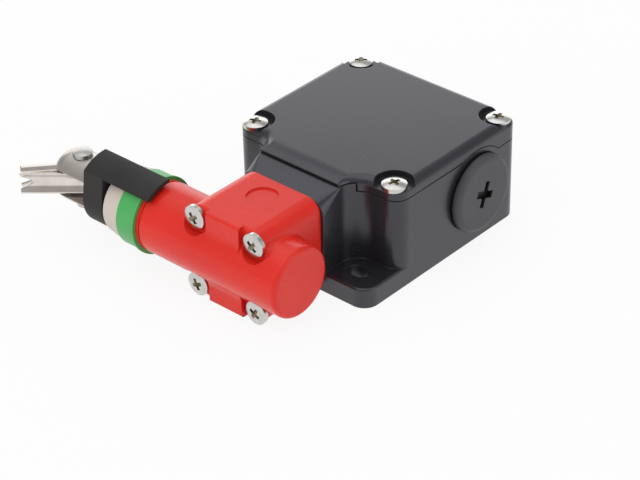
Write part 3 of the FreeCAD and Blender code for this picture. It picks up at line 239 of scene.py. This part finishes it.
paints = {
    "dark_paint": {
        "shade": (0.0145, 0.0147, 0.0185), "tint": (0.020, 0.0202, 0.0245), "cloudScale": 40.0,
        "roughness": 0.28, "roughnessSpread": 0.06, "specular": 0.76, "gleam": (0.90, 0.91, 1.0),
        "peelScale": 700.0, "peel": 0.05, "edge": 0.35 * mm,
        "dustScale": 1500.0, "dustShare": 0.12, "dustShade": (0.08, 0.08, 0.085),
    },
    "red_paint": {
        "shade": (0.74, 0.021, 0.012), "tint": (0.80, 0.027, 0.016), "cloudScale": 45.0,
        "roughness": 0.27, "roughnessSpread": 0.06, "specular": 0.38, "gleam": (1.0, 0.91, 0.88),
        "peelScale": 650.0, "peel": 0.06, "edge": 0.3 * mm,
        "dustScale": 1400.0, "dustShare": 0.15, "dustShade": (0.62, 0.10, 0.08),
    },
}
mouldings = {
    "green_plastic": {
        "shade": (0.060, 0.405, 0.093), "tint": (0.080, 0.465, 0.121), "cloudScale": 60.0,
        "roughness": 0.33, "roughnessSpread": 0.08, "specular": 0.5,
        "grainScale": 2500.0, "grain": 0.03, "edge": 0.2 * mm,
    },
    "bush_plastic": {
        "shade": (0.615, 0.54, 0.465), "tint": (0.69, 0.605, 0.53), "cloudScale": 70.0,
        "roughness": 0.42, "roughnessSpread": 0.08, "specular": 0.45,
        "grainScale": 2500.0, "grain": 0.05, "edge": 0.3 * mm,
    },
    "black_plastic": {
        "shade": (0.027, 0.0248, 0.0252), "tint": (0.035, 0.0323, 0.0327), "cloudScale": 60.0,
        "roughness": 0.55, "roughnessSpread": 0.16, "specular": 0.22,
        "grainScale": 3200.0, "grain": 0.25, "edge": 0.3 * mm,
    },
    "plug_plastic": {
        "shade": (0.059, 0.060, 0.065), "tint": (0.069, 0.070, 0.076), "cloudScale": 50.0,
        "roughness": 0.5, "roughnessSpread": 0.12, "specular": 0.45,
        # the last colour is painted shade, deep in the plug's driver recess
        "grainScale": 2800.0, "grain": 0.12, "edge": 0.2 * mm, "recessShade": (0.004, 0.004, 0.005),
    },
    "block_plastic": {
        "shade": (0.060, 0.060, 0.065), "tint": (0.072, 0.072, 0.078), "cloudScale": 60.0,
        "roughness": 0.5, "roughnessSpread": 0.1, "specular": 0.45,
        "grainScale": 2500.0, "grain": 0.1, "edge": 0.2 * mm,
    },
    "seal_rubber": {
        "shade": (0.018, 0.018, 0.018), "tint": (0.026, 0.026, 0.026), "cloudScale": 80.0,
        "roughness": 0.7, "roughnessSpread": 0.12, "specular": 0.4,
        "grainScale": 2000.0, "grain": 0.12, "edge": 0.15 * mm,
    },
}
metals = {
    "plated_screw": {
        "shade": (0.55, 0.54, 0.52), "tint": (0.66, 0.65, 0.63), "cloudScale": 500.0,
        "roughness": 0.21, "roughnessSpread": 0.12, "streakScale": 900.0, "squeeze": evenly,
        # the last colour is painted shade, deep in the screw's cross recess
        "streak": 0.06, "edge": 0.15 * mm, "recessShade": (0.52, 0.49, 0.37),
    },
    "clevis_nickel": {
        "shade": (0.545, 0.505, 0.465), "tint": (0.625, 0.58, 0.54), "cloudScale": 150.0,
        "roughness": 0.34, "roughnessSpread": 0.16, "streakScale": 900.0, "squeeze": (1.0, 6.0, 6.0),
        "streak": 0.05, "edge": 0.3 * mm,
    },
    "pin_steel": {
        "shade": (0.47, 0.465, 0.45), "tint": (0.54, 0.535, 0.52), "cloudScale": 260.0,
        "roughness": 0.3, "roughnessSpread": 0.14, "streakScale": 900.0, "squeeze": evenly,
        "streak": 0.03, "edge": 0.03 * mm,
    },
    "thimble_steel": {
        "shade": (0.65, 0.600, 0.560), "tint": (0.79, 0.735, 0.690), "cloudScale": 220.0,
        "roughness": 0.16, "roughnessSpread": 0.10, "streakScale": 500.0, "squeeze": (1.0, 1.0, 5.0),
        "streak": 0.03, "edge": 0.01 * mm,
    },
    "rod_steel": {
        "shade": (0.56, 0.56, 0.56), "tint": (0.64, 0.64, 0.64), "cloudScale": 150.0,
        "roughness": 0.3, "roughnessSpread": 0.14, "streakScale": 800.0, "squeeze": (6.0, 1.0, 1.0),
        "streak": 0.05, "edge": 0.15 * mm,
    },
    "spring_steel": {
        "shade": (0.40, 0.40, 0.41), "tint": (0.50, 0.50, 0.51), "cloudScale": 300.0,
        "roughness": 0.35, "roughnessSpread": 0.12, "streakScale": 900.0, "squeeze": evenly,
        "streak": 0.04, "edge": 0.05 * mm,
    },
    "bush_brass": {
        "shade": (0.70, 0.50, 0.22), "tint": (0.78, 0.58, 0.28), "cloudScale": 180.0,
        "roughness": 0.32, "roughnessSpread": 0.12, "streakScale": 900.0, "squeeze": (6.0, 1.0, 1.0),
        "streak": 0.05, "edge": 0.15 * mm,
    },
    "contact_brass": {
        "shade": (0.66, 0.48, 0.22), "tint": (0.74, 0.56, 0.28), "cloudScale": 250.0,
        "roughness": 0.34, "roughnessSpread": 0.12, "streakScale": 800.0, "squeeze": (1.0, 6.0, 1.0),
        "streak": 0.05, "edge": 0.1 * mm,
    },
}
wornBy = {
    "dark_paint": ["housing", "lid"],
    "red_paint": ["head_body"],
    "green_plastic": ["green_ring"],
    "bush_plastic": ["front_bush"],
    "black_plastic": ["indicator", "contact_slider"],
    "plug_plastic": ["conduit_plug_right", "conduit_plug_left"],
    "block_plastic": ["contact_block_base"],
    "seal_rubber": ["lid_gasket", "plug_seals", "head_gasket", "rod_seal", "plunger_seal"],
    "plated_screw": ["lid_screws", "head_screws", "contact_block_screws", "terminal_screws", "earth_screw"],
    "clevis_nickel": ["clevis", "lock_nut"],
    "pin_steel": ["clevis_pin"],
    "thimble_steel": ["rope_thimble"],
    "rod_steel": ["pull_rod", "cam_sleeve", "spring_seat", "head_plunger"],
    "spring_steel": ["return_spring", "contact_spring"],
    "bush_brass": ["plunger_guide"],
    "contact_brass": ["fixed_contacts", "terminal_clamps", "contact_bridges"],
}

finishes = {}
for kind, maker in ((paints, paintFinish), (mouldings, mouldFinish), (metals, metalFinish)):
    for name, look in kind.items():
        finishes[name] = maker(name, look)
for slot, nodes in wornBy.items():
    for node in nodes:
        frame["nodes"][node].data.materials.clear()
        frame["nodes"][node].data.materials.append(finishes[slot])
print("finishes made:", len(finishes))


# shapes that follow a rule: a flat grid is wrapped into the form, which then stands at each given place

recessDepths = (0.05 * mm, 1.0 * mm)


def startTree(name, sizes):
    tree = bpy.data.node_groups.new(name, "GeometryNodeTree")
    tree.interface.new_socket("places", in_out="INPUT", socket_type="NodeSocketGeometry")
    for label, value in sizes.items():
        tree.interface.new_socket(label, in_out="INPUT", socket_type="NodeSocketFloat").default_value = value
    tree.interface.new_socket("finish", in_out="INPUT", socket_type="NodeSocketMaterial")
    tree.interface.new_socket("pieces", in_out="OUTPUT", socket_type="NodeSocketGeometry")
    given = tree.nodes.new("NodeGroupInput")
    return {socket.name: Wire(tree, socket) for socket in given.outputs if socket.name}


def splitPlace(wire):
    spot = wire.node("ShaderNodeSeparateXYZ", None, {0: wire.node("GeometryNodeInputPosition")})
    return tuple(Wire(wire.tree, spot.socket.node.outputs[axis]) for axis in "XYZ")


def splitRound(wire):
    # distance from the Z axis, and height
    x, y, z = splitPlace(wire)
    return wire.maths("SQRT", x ** 2.0 + y ** 2.0), z


def joinPlace(wire, x=0.0, y=0.0, z=0.0):
    return wire.node("ShaderNodeCombineXYZ", None, {"X": x, "Y": y, "Z": z})


def joinRound(wire, radius, turn, height):
    return joinPlace(wire, radius * wire.maths("COSINE", turn), radius * wire.maths("SINE", turn), height)


def flatGrid(wire, rows, columns):
    # a grid with its two running shares, 0 to 1 along the rows and 0 to 1 across
    sheet = wire.node("GeometryNodeMeshGrid", None, {
        "Size X": 1.0, "Size Y": 1.0, "Vertices X": rows + 1, "Vertices Y": columns + 1})
    x, y = splitPlace(wire)[:2]
    return sheet, x + 0.5, y + 0.5


def rowShares(along, rowEnds):
    # for each run of rows, a share that goes from 0 at its first row to 1 at its last
    rows = rowEnds[-1]
    return [stretch(along, first / rows, last / rows) for first, last in zip((0, *rowEnds), rowEnds)]


def wrapGrid(wire, sheet, spot, joinGap):
    moved = wire.node("GeometryNodeSetPosition", None, {"Geometry": sheet, "Position": spot})
    return wire.node("GeometryNodeMergeByDistance", None, {"Geometry": moved, "Distance": joinGap})


def cutOut(wire, body, tools):
    return wire.node("GeometryNodeMeshBoolean", {"operation": "DIFFERENCE", "solver": "EXACT"}, {
        "Mesh 1": body, "Mesh 2": tools})


def markRecess(wire, shape, sunk, inside):
    # stores how deep a point of the recess lies, 0 to 1, for the finish to darken it as painted shade
    return wire.node("GeometryNodeStoreNamedAttribute", {"data_type": "FLOAT", "domain": "POINT"}, {
        "Geometry": shape, "Name": "recess", "Value": stretch(sunk, *recessDepths) * inside})


def endTree(size, shape, sharpAngle):
    wire = size["places"]
    angle = wire.node("GeometryNodeInputMeshEdgeAngle")
    smooth = wire.node("GeometryNodeSetShadeSmooth", {"domain": "EDGE"}, {
        "Geometry": shape, "Shade Smooth": wire.maths("LESS_THAN", angle, sharpAngle)})
    spin = wire.node("GeometryNodeInputNamedAttribute", {"data_type": "FLOAT"}, {"Name": "spin"})
    standing = wire.node("GeometryNodeInstanceOnPoints", None, {
        "Points": size["places"], "Instance": smooth,
        "Rotation": wire.node("FunctionNodeEulerToRotation", None, {"Euler": joinPlace(wire, z=spin)})})
    realised = wire.node("GeometryNodeRealizeInstances", None, {"Geometry": standing})
    finished = wire.node("GeometryNodeSetMaterial", None, {"Geometry": realised, "Material": size["finish"]})
    wire.node("NodeGroupOutput", None, {"pieces": finished})
    return wire.tree


def plant(name, tree, sizes, rides, places, spins, upright):
    # places lie in a frame whose Z is the axis that a piece spins about; upright turns it into the part's
    points = bpy.data.meshes.new(name + "Points")
    points.from_pydata(places, [], [])
    spin = points.attributes.new("spin", "FLOAT", "POINT")
    spin.data.foreach_set("value", [math.radians(angle) for angle in spins])
    source = bpy.data.objects.new(name + "Source", points)
    bpy.context.scene.collection.objects.link(source)
    modifier = source.modifiers.new("pieces", "NODES")
    modifier.node_group = tree
    for item in tree.interface.items_tree:
        if item.in_out == "INPUT" and item.name in sizes:
            modifier[item.identifier] = sizes[item.name]
        if item.in_out == "INPUT" and item.name == "finish":
            modifier[item.identifier] = finishes[rides["slot"]]
    evaluated = source.evaluated_get(bpy.context.evaluated_depsgraph_get())
    mesh = bpy.data.meshes.new_from_object(evaluated)
    source.modifiers.clear()
    bpy.data.objects.remove(source)
    mesh.transform(upright)
    piece = bpy.data.objects.new(name, mesh)
    bpy.context.scene.collection.objects.link(piece)
    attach(piece, rides["body"])
    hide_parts(rides["node"])
    print(name, len(mesh.polygons), "faces")
    return piece


# pan-head screws, one tree for the lid and the head

screwSizes = {
    "headRadius": 3.9 * mm,
    "headHeight": 2.0 * mm,
    "rimHeight": 1.35 * mm,
    "shankRadius": 2.0 * mm,
    "shankLength": 8.0 * mm,
    "recessArm": 4.1 * mm,
    "recessWidth": 1.15 * mm,
    "recessDepth": 1.6 * mm,
    "recessEye": 1.3 * mm,
}
screwMesh = {
    "rowEnds": (12, 15, 17, 22, 24),
    "segments": 48,
    "joinGap": 0.002 * mm,
    "sharpAngle": 0.6,
    "taper": 0.35,
    "eyeSides": 4,
    "eyeTop": 1.3,
    "eyeFloor": 0.5,
    "recessShare": 0.75,
}
lidScrewRides = {"body": "switch_body", "node": "lid_screws", "slot": "plated_screw"}
headScrewRides = {"body": "switch_body", "node": "head_screws", "slot": "plated_screw"}
# turn of each cross, in degrees
lidSpins = (20.0, 75.0, 40.0, 10.0)
headSpins = (25.0, 60.0, 35.0, 50.0)


def domeHeight(wire, size, reach):
    rise = size["headHeight"] - size["rimHeight"]
    radius = (size["headRadius"] ** 2.0 + rise ** 2.0) / (rise * 2.0)
    return size["headHeight"] - radius + wire.maths("SQRT", radius ** 2.0 - reach ** 2.0)


def screwTree():
    size = startTree("panHeadScrew", screwSizes)
    wire = size["places"]

    # dome, rim, underside, shank and tip, row by row
    sheet, along, across = flatGrid(wire, screwMesh["rowEnds"][-1], screwMesh["segments"])
    dome, rim, under, shank, tip = rowShares(along, screwMesh["rowEnds"])
    domeReach = size["headRadius"] * dome
    radius = domeReach - (size["headRadius"] - size["shankRadius"]) * under - size["shankRadius"] * tip
    height = domeHeight(wire, size, domeReach) - size["rimHeight"] * rim - size["shankLength"] * shank
    turned = wrapGrid(wire, sheet, joinRound(wire, radius, across * math.tau, height), screwMesh["joinGap"])

    # cross recess: two tapered wings and a square eye, cut out of the dome
    wings = [recessWing(wire, size, turn) for turn in (0.0, quarterTurn)]
    eye = wire.node("GeometryNodeMeshCone", None, {
        "Vertices": screwMesh["eyeSides"],
        "Radius Top": size["recessEye"] * screwMesh["eyeTop"],
        "Radius Bottom": size["recessEye"] * screwMesh["eyeFloor"],
        "Depth": size["recessDepth"] * 2.0})
    sunk = wire.node("GeometryNodeTransform", None, {
        "Geometry": eye, "Rotation": (0.0, 0.0, quarterTurn / 2),
        "Translation": joinPlace(wire, z=size["headHeight"] - size["recessDepth"])})
    screw = cutOut(wire, turned, [*wings, sunk])

    reach, z = splitRound(wire)
    inside = wire.maths("LESS_THAN", reach, size["recessArm"] * screwMesh["recessShare"])
    marked = markRecess(wire, screw, domeHeight(wire, size, reach) - z, inside)
    return endTree(size, marked, screwMesh["sharpAngle"])


def recessWing(wire, size, turn):
    block = wire.node("GeometryNodeMeshCube", None, {
        "Size": joinPlace(wire, size["recessArm"], size["recessWidth"], size["recessDepth"] * 2.0)})
    x, y, z = splitPlace(wire)
    widen = 1.0 + z / size["recessDepth"] * screwMesh["taper"]
    tapered = wire.node("GeometryNodeSetPosition", None, {
        "Geometry": block, "Position": joinPlace(wire, x * widen, y, z)})
    return wire.node("GeometryNodeTransform", None, {
        "Geometry": tapered, "Rotation": (0.0, 0.0, turn),
        "Translation": joinPlace(wire, z=size["headHeight"])})


def cornersOf(node, first, second, margin):
    # the four corners of a node's box, moved in by the margin, on two of its axes
    low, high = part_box(node)
    return [(x, y) for y in (low[second] + margin, high[second] - margin)
            for x in (low[first] + margin, high[first] - margin)]


screws = screwTree()
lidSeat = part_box("lid_screws")[1].z - screwSizes["headHeight"]
lidPlaces = [(x, y, lidSeat) for x, y in cornersOf("lid_screws", 0, 1, screwSizes["headRadius"])]
plant("lidScrewSet", screws, screwSizes, lidScrewRides, lidPlaces, lidSpins, Matrix())
headSeat = -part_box("head_screws")[0].y - screwSizes["headHeight"]
headPlaces = [(x, z, headSeat) for x, z in cornersOf("head_screws", 0, 2, screwSizes["headRadius"])]
plant("headScrewSet", screws, screwSizes, headScrewRides, headPlaces, headSpins,
      Matrix.Rotation(quarterTurn, 4, "X"))


# blanking plugs, one tree for both sides

plugLow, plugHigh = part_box("conduit_plug_right")
plugFlange = 2.4 * mm
plugSizes = {
    "flangeRadius": (plugHigh.y - plugLow.y) / 2,
    "flangeThickness": plugFlange,
    "edgeRadius": 2.1 * mm,
    "shankRadius": 9.0 * mm,
    "shankLength": plugHigh.x - plugLow.x - plugFlange,
    "shankWall": 2.2 * mm,
    "webThickness": 3.0 * mm,
    "slotLength": 8.8 * mm,
    "slotWidth": 2.0 * mm,
    "keyLength": 7.8 * mm,
    "keyWidth": 2.4 * mm,
    "hubRadius": 1.9 * mm,
    "slotDepth": 1.8 * mm,
}
plugMesh = {
    "rowEnds": (6, 18, 20, 22, 24, 26, 28, 30),
    "segments": 96,
    "hubSegments": 32,
    "joinGap": 0.002 * mm,
    "sharpAngle": 0.6,
    "recessShare": 0.55,
}
rightPlugRides = {"body": "switch_body", "node": "conduit_plug_right", "slot": "plug_plastic"}
leftPlugRides = {"body": "switch_body", "node": "conduit_plug_left", "slot": "plug_plastic"}
rightPlugSpin = -21.0
leftPlugSpin = 34.0


def plugTree():
    size = startTree("blankingPlug", plugSizes)
    wire = size["places"]

    # face, rounded edge, side, underside, hollow shank and its floor, row by row
    sheet, along, across = flatGrid(wire, plugMesh["rowEnds"][-1], plugMesh["segments"])
    face, edge, side, under, shank, lip, hollow, floor = rowShares(along, plugMesh["rowEnds"])
    bend = edge * quarterTurn
    flat = size["flangeRadius"] - size["edgeRadius"]
    inner = size["shankRadius"] - size["shankWall"]
    radius = (flat * face + size["edgeRadius"] * wire.maths("SINE", bend)
              - (size["flangeRadius"] - size["shankRadius"]) * under
              - size["shankWall"] * lip - inner * floor)
    height = (size["flangeThickness"] - size["edgeRadius"] * (1.0 - wire.maths("COSINE", bend))
              - (size["flangeThickness"] - size["edgeRadius"]) * side - size["shankLength"] * shank
              + (size["shankLength"] + size["flangeThickness"] - size["webThickness"]) * hollow)
    turned = wrapGrid(wire, sheet, joinRound(wire, radius, across * math.tau, height), plugMesh["joinGap"])

    # driver recess: a slot, a broader cross slot and a round hub
    depth = size["slotDepth"] * 2.0
    top = joinPlace(wire, z=size["flangeThickness"])
    slots = [wire.node("GeometryNodeMeshCube", None, {"Size": joinPlace(wire, x, y, depth)})
             for x, y in ((size["slotLength"], size["slotWidth"]), (size["keyWidth"], size["keyLength"]))]
    hub = wire.node("GeometryNodeMeshCylinder", None, {
        "Vertices": plugMesh["hubSegments"], "Radius": size["hubRadius"], "Depth": depth})
    tools = [wire.node("GeometryNodeTransform", None, {"Geometry": shape, "Translation": top})
             for shape in (*slots, hub)]
    plug = cutOut(wire, turned, tools)

    reach, z = splitRound(wire)
    inside = wire.maths("LESS_THAN", reach, size["slotLength"] * plugMesh["recessShare"])
    marked = markRecess(wire, plug, size["flangeThickness"] - z, inside)
    return endTree(size, marked, plugMesh["sharpAngle"])


plugs = plugTree()
plugMiddle = (plugLow + plugHigh) * 0.5
plugSeat = plugHigh.x - plugSizes["flangeThickness"]
plant("entryPlugRight", plugs, plugSizes, rightPlugRides, [(-plugMiddle.z, plugMiddle.y, plugSeat)],
      [rightPlugSpin], Matrix.Rotation(quarterTurn, 4, "Y"))
plant("entryPlugLeft", plugs, plugSizes, leftPlugRides, [(plugMiddle.z, plugMiddle.y, plugSeat)],
      [leftPlugSpin], Matrix.Rotation(-quarterTurn, 4, "Y"))


# rope thimble: a grooved strip bent round the pin, its legs leaning together, their ends notched

thimbleSizes = {
    "reach": 20.1 * mm,
    "bendRadius": 2.2 * mm,
    "leanAngle": math.radians(4.0),
    "halfHeight": 3.7 * mm,
    "grooveDepth": 1.45 * mm,
    "sheet": 0.9 * mm,
    "notch": 4.0 * mm,
    "prongShare": 0.42,
}
thimbleMesh = {
    "rows": 176,
    "columns": 48,
    "joinGap": 0.002 * mm,
    "sharpAngle": 1.2,
    "grooveCurve": 2.3,
    "notchCurve": 1.6,
}
thimbleRides = {"body": "thimble", "node": "rope_thimble", "slot": "thimble_steel"}
thimbleTurn = 224.0


def roundedEdge(wire, reach, limit, radius):
    # thickness left at a distance from the middle, rounding off to nothing at the limit
    share = stretch(reach, limit - radius, limit)
    return wire.maths("SQRT", 1.0 - share ** 2.0)


def thimbleTree():
    size = startTree("ropeThimble", thimbleSizes)
    wire = size["places"]
    sheet, along, across = flatGrid(wire, thimbleMesh["rows"], thimbleMesh["columns"])
    half = size["sheet"] * 0.5

    # round the strip's section: from rim to rim on one face and back on the other
    turn = across * math.tau
    side = 0.0 - wire.maths("COSINE", turn)
    spread = wire.maths("ABSOLUTE", side)
    face = wire.maths("SIGN", wire.maths("SINE", turn))
    curve = thimbleMesh["grooveCurve"]
    dip = size["grooveDepth"] * spread ** curve
    slope = (size["grooveDepth"] / size["halfHeight"] * curve
             * spread ** (curve - 1.0) * wire.maths("SIGN", side))
    run = wire.maths("SQRT", 1.0 + slope ** 2.0)

    # along the strip: one leg, the bend, the other leg, closer rows towards the ends
    bendEnd = quarterTurn + size["leanAngle"]
    legReach = size["reach"] - size["bendRadius"] * wire.maths("SINE", size["leanAngle"])
    legLength = legReach / wire.maths("COSINE", size["leanAngle"])
    prong = stretch(spread, 0.0, 1.0 - size["prongShare"])
    cutBack = size["notch"] * (1.0 - prong ** thimbleMesh["notchCurve"])
    fullLength = size["bendRadius"] * bendEnd + legLength - cutBack
    length = wire.maths("SINE", (along - 0.5) * math.pi) * fullLength
    bend = stretch(length / size["bendRadius"], 0.0 - bendEnd, bendEnd, 0.0 - bendEnd, bendEnd)
    rest = length - bend * size["bendRadius"]
    thick = (half * face * roundedEdge(wire, spread * size["halfHeight"], size["halfHeight"], half)
             * roundedEdge(wire, wire.maths("ABSOLUTE", length), fullLength, half))
    outward = size["bendRadius"] + dip + thick / run
    upward = size["halfHeight"] * side - thick * slope / run
    sine = wire.maths("SINE", bend)
    cosine = wire.maths("COSINE", bend)
    spot = joinPlace(wire, rest * sine - outward * cosine, outward * sine + rest * cosine, upward)
    strip = wrapGrid(wire, sheet, spot, thimbleMesh["joinGap"])
    return endTree(size, strip, thimbleMesh["sharpAngle"])


pinLow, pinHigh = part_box("clevis_pin")
plant("ropeThimbleStrip", thimbleTree(), thimbleSizes, thimbleRides, [(pinLow + pinHigh) * 0.5],
      [thimbleTurn], Matrix())


# wire coils of the return spring and the contact spring; the share by which each would shorten as the rod is
# pulled is worked out but not used

returnLow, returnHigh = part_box("return_spring")
contactLow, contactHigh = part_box("contact_spring")
returnCoil = {
    "outerRadius": (returnHigh.z - returnLow.z) / 2,
    "wireRadius": 0.8 * mm,
    "turns": 5.5,
    "length": returnHigh.x - returnLow.x,
}
contactCoil = {
    "outerRadius": (contactHigh.z - contactLow.z) / 2,
    "wireRadius": 0.35 * mm,
    "turns": 5.0,
    "length": contactHigh.y - contactLow.y,
}
coilMesh = {"rows": 300, "columns": 16, "endShare": 0.008, "joinGap": 0.001 * mm, "sharpAngle": 1.2}
returnRides = {"body": "switch_body", "node": "return_spring", "slot": "spring_steel"}
contactRides = {"body": "switch_body", "node": "contact_spring", "slot": "spring_steel"}


def coilTree(name, sizes):
    size = startTree(name, sizes)
    wire = size["places"]
    sheet, along, across = flatGrid(wire, coilMesh["rows"], coilMesh["columns"])
    section = across * math.tau
    fromMiddle = wire.maths("ABSOLUTE", along - 0.5)
    thick = size["wireRadius"] * roundedEdge(wire, fromMiddle, 0.5, coilMesh["endShare"])
    reach = size["outerRadius"] - size["wireRadius"] + thick * wire.maths("COSINE", section)
    rise = size["wireRadius"] + (size["length"] - size["wireRadius"] * 2.0) * along
    height = rise + thick * wire.maths("SINE", section)
    spot = joinRound(wire, reach, along * size["turns"] * math.tau, height)
    return endTree(size, wrapGrid(wire, sheet, spot, coilMesh["joinGap"]), coilMesh["sharpAngle"])


def travelOf(jointName):
    # how far a slide goes from rest
    joints = frame["record"]["behaviour"]["joints"]
    return max(joint["range_m"][1] for joint in joints if joint["name"] == jointName)


returnMiddle = (returnLow + returnHigh) * 0.5
returnPiece = plant("returnCoil", coilTree("returnCoil", returnCoil), returnCoil, returnRides,
                    [(-returnMiddle.z, returnMiddle.y, returnLow.x)], [0.0],
                    Matrix.Rotation(quarterTurn, 4, "Y"))
1 - travelOf("pull_slide") / returnCoil["length"]
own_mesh(returnPiece)
contactMiddle = (contactLow + contactHigh) * 0.5
contactPiece = plant("contactCoil", coilTree("contactCoil", contactCoil), contactCoil, contactRides,
                     [(contactMiddle.x, -contactMiddle.z, contactLow.y)], [0.0],
                     Matrix.Rotation(-quarterTurn, 4, "X"))
1 - travelOf("plunger_slide") / contactCoil["length"]
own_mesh(contactPiece)


# stage, light and camera

floorLook = {"reach": 4.0, "shade": (0.93, 0.93, 0.93), "whiteShare": 0.9}
worldLook = {"shade": (1.0, 1.0, 1.0), "strength": 0.44}
lamps = {
    "overheadBox": {
        "place": (-0.2, -0.05, 1.1), "aim": (0.0, 0.0, 0.0),
        "size": (1.6, 1.2), "power": 5.6, "gleams": True,
    },
    "backBox": {
        "place": (-0.78, 0.86, 0.265), "aim": (0.0, 0.02, 0.05),
        "size": (1.5, 0.85), "power": 5.3, "gleams": True,
    },
    "rightBox": {
        "place": (1.1, 0.25, 0.45), "aim": (0.0, 0.0, 0.02),
        "size": (0.8, 0.9), "power": 2.6, "gleams": True,
    },
    "frontFill": {
        "place": (-0.2, -1.2, 0.5), "aim": (0.0, -0.02, 0.02),
        "size": (1.4, 0.8), "power": 4.8, "gleams": False,
    },
}
photoCamera = {
    "eye": (0.3901, -0.4201, 0.3872),
    "right": (0.7480, 0.6634, -0.0192),
    "back": (0.5613, -0.6168, 0.5518),
    "lens": 126.55,
    "sensor": 36.0,
    "clipStart": 0.01,
}


def seenDirectly(wire):
    # 1 for camera, mirror and glass rays, which see the white background
    camera, mirror, glass = (wire.node("ShaderNodeLightPath", output=name)
                             for name in ("Is Camera Ray", "Is Glossy Ray", "Is Transmission Ray"))
    return stretch(camera + mirror + glass, 0.0, 1.0)


def makeFloor():
    material, wire = newFinish("floorPaper")
    paper = wire.node("ShaderNodeBsdfDiffuse", None, {"Color": (*floorLook["shade"], 1.0)})
    glow = wire.node("ShaderNodeEmission", None, {"Color": pureWhite, "Strength": 1.0})
    mixed = wire.node("ShaderNodeMixShader", None, {
        "Fac": seenDirectly(wire) * floorLook["whiteShare"], 1: paper, 2: glow})
    wire.node("ShaderNodeOutputMaterial", None, {"Surface": mixed})
    reach = floorLook["reach"]
    corners = [(-reach, -reach, 0), (reach, -reach, 0), (reach, reach, 0), (-reach, reach, 0)]
    mesh = bpy.data.meshes.new("floor")
    mesh.from_pydata(corners, [], [(0, 1, 2, 3)])
    mesh.materials.append(material)
    floor = bpy.data.objects.new("floor", mesh)
    floor.location.z = cadBox[0].z
    bpy.context.scene.collection.objects.link(floor)


def makeWorld():
    world = bpy.data.worlds.new("studio")
    bpy.context.scene.world = world
    world.use_nodes = True
    world.node_tree.nodes.clear()
    wire = Wire(world.node_tree)
    soft = wire.node("ShaderNodeBackground", None, {
        "Color": (*worldLook["shade"], 1.0), "Strength": worldLook["strength"]})
    white = wire.node("ShaderNodeBackground", None, {"Color": pureWhite, "Strength": 1.0})
    mixed = wire.node("ShaderNodeMixShader", None, {
        "Fac": wire.node("ShaderNodeLightPath", output="Is Camera Ray"), 1: soft, 2: white})
    wire.node("ShaderNodeOutputWorld", None, {"Surface": mixed})


def makeLamp(name, look):
    data = bpy.data.lights.new(name, "AREA")
    data.shape = "RECTANGLE"
    data.size, data.size_y = look["size"]
    data.energy = look["power"]
    lamp = bpy.data.objects.new(name, data)
    lamp.visible_glossy = look["gleams"]
    place = Vector(look["place"])
    lamp.location = place
    lamp.rotation_euler = (Vector(look["aim"]) - place).to_track_quat("-Z", "Y").to_euler()
    bpy.context.scene.collection.objects.link(lamp)


def makeCamera():
    data = bpy.data.cameras.new("photoCamera")
    data.sensor_width = photoCamera["sensor"]
    data.lens = photoCamera["lens"]
    data.clip_start = photoCamera["clipStart"]
    camera = bpy.data.objects.new("photoCamera", data)
    right = Vector(photoCamera["right"]).normalized()
    back = Vector(photoCamera["back"]).normalized()
    turned = Matrix((right, back.cross(right), back)).transposed().to_4x4()
    camera.matrix_world = Matrix.Translation(photoCamera["eye"]) @ turned
    bpy.context.scene.collection.objects.link(camera)
    bpy.context.scene.camera = camera


makeFloor()
makeWorld()
for name, look in lamps.items():
    makeLamp(name, look)
makeCamera()
bpy.context.scene.view_settings.view_transform = "Standard"
print("stage, light and camera set")
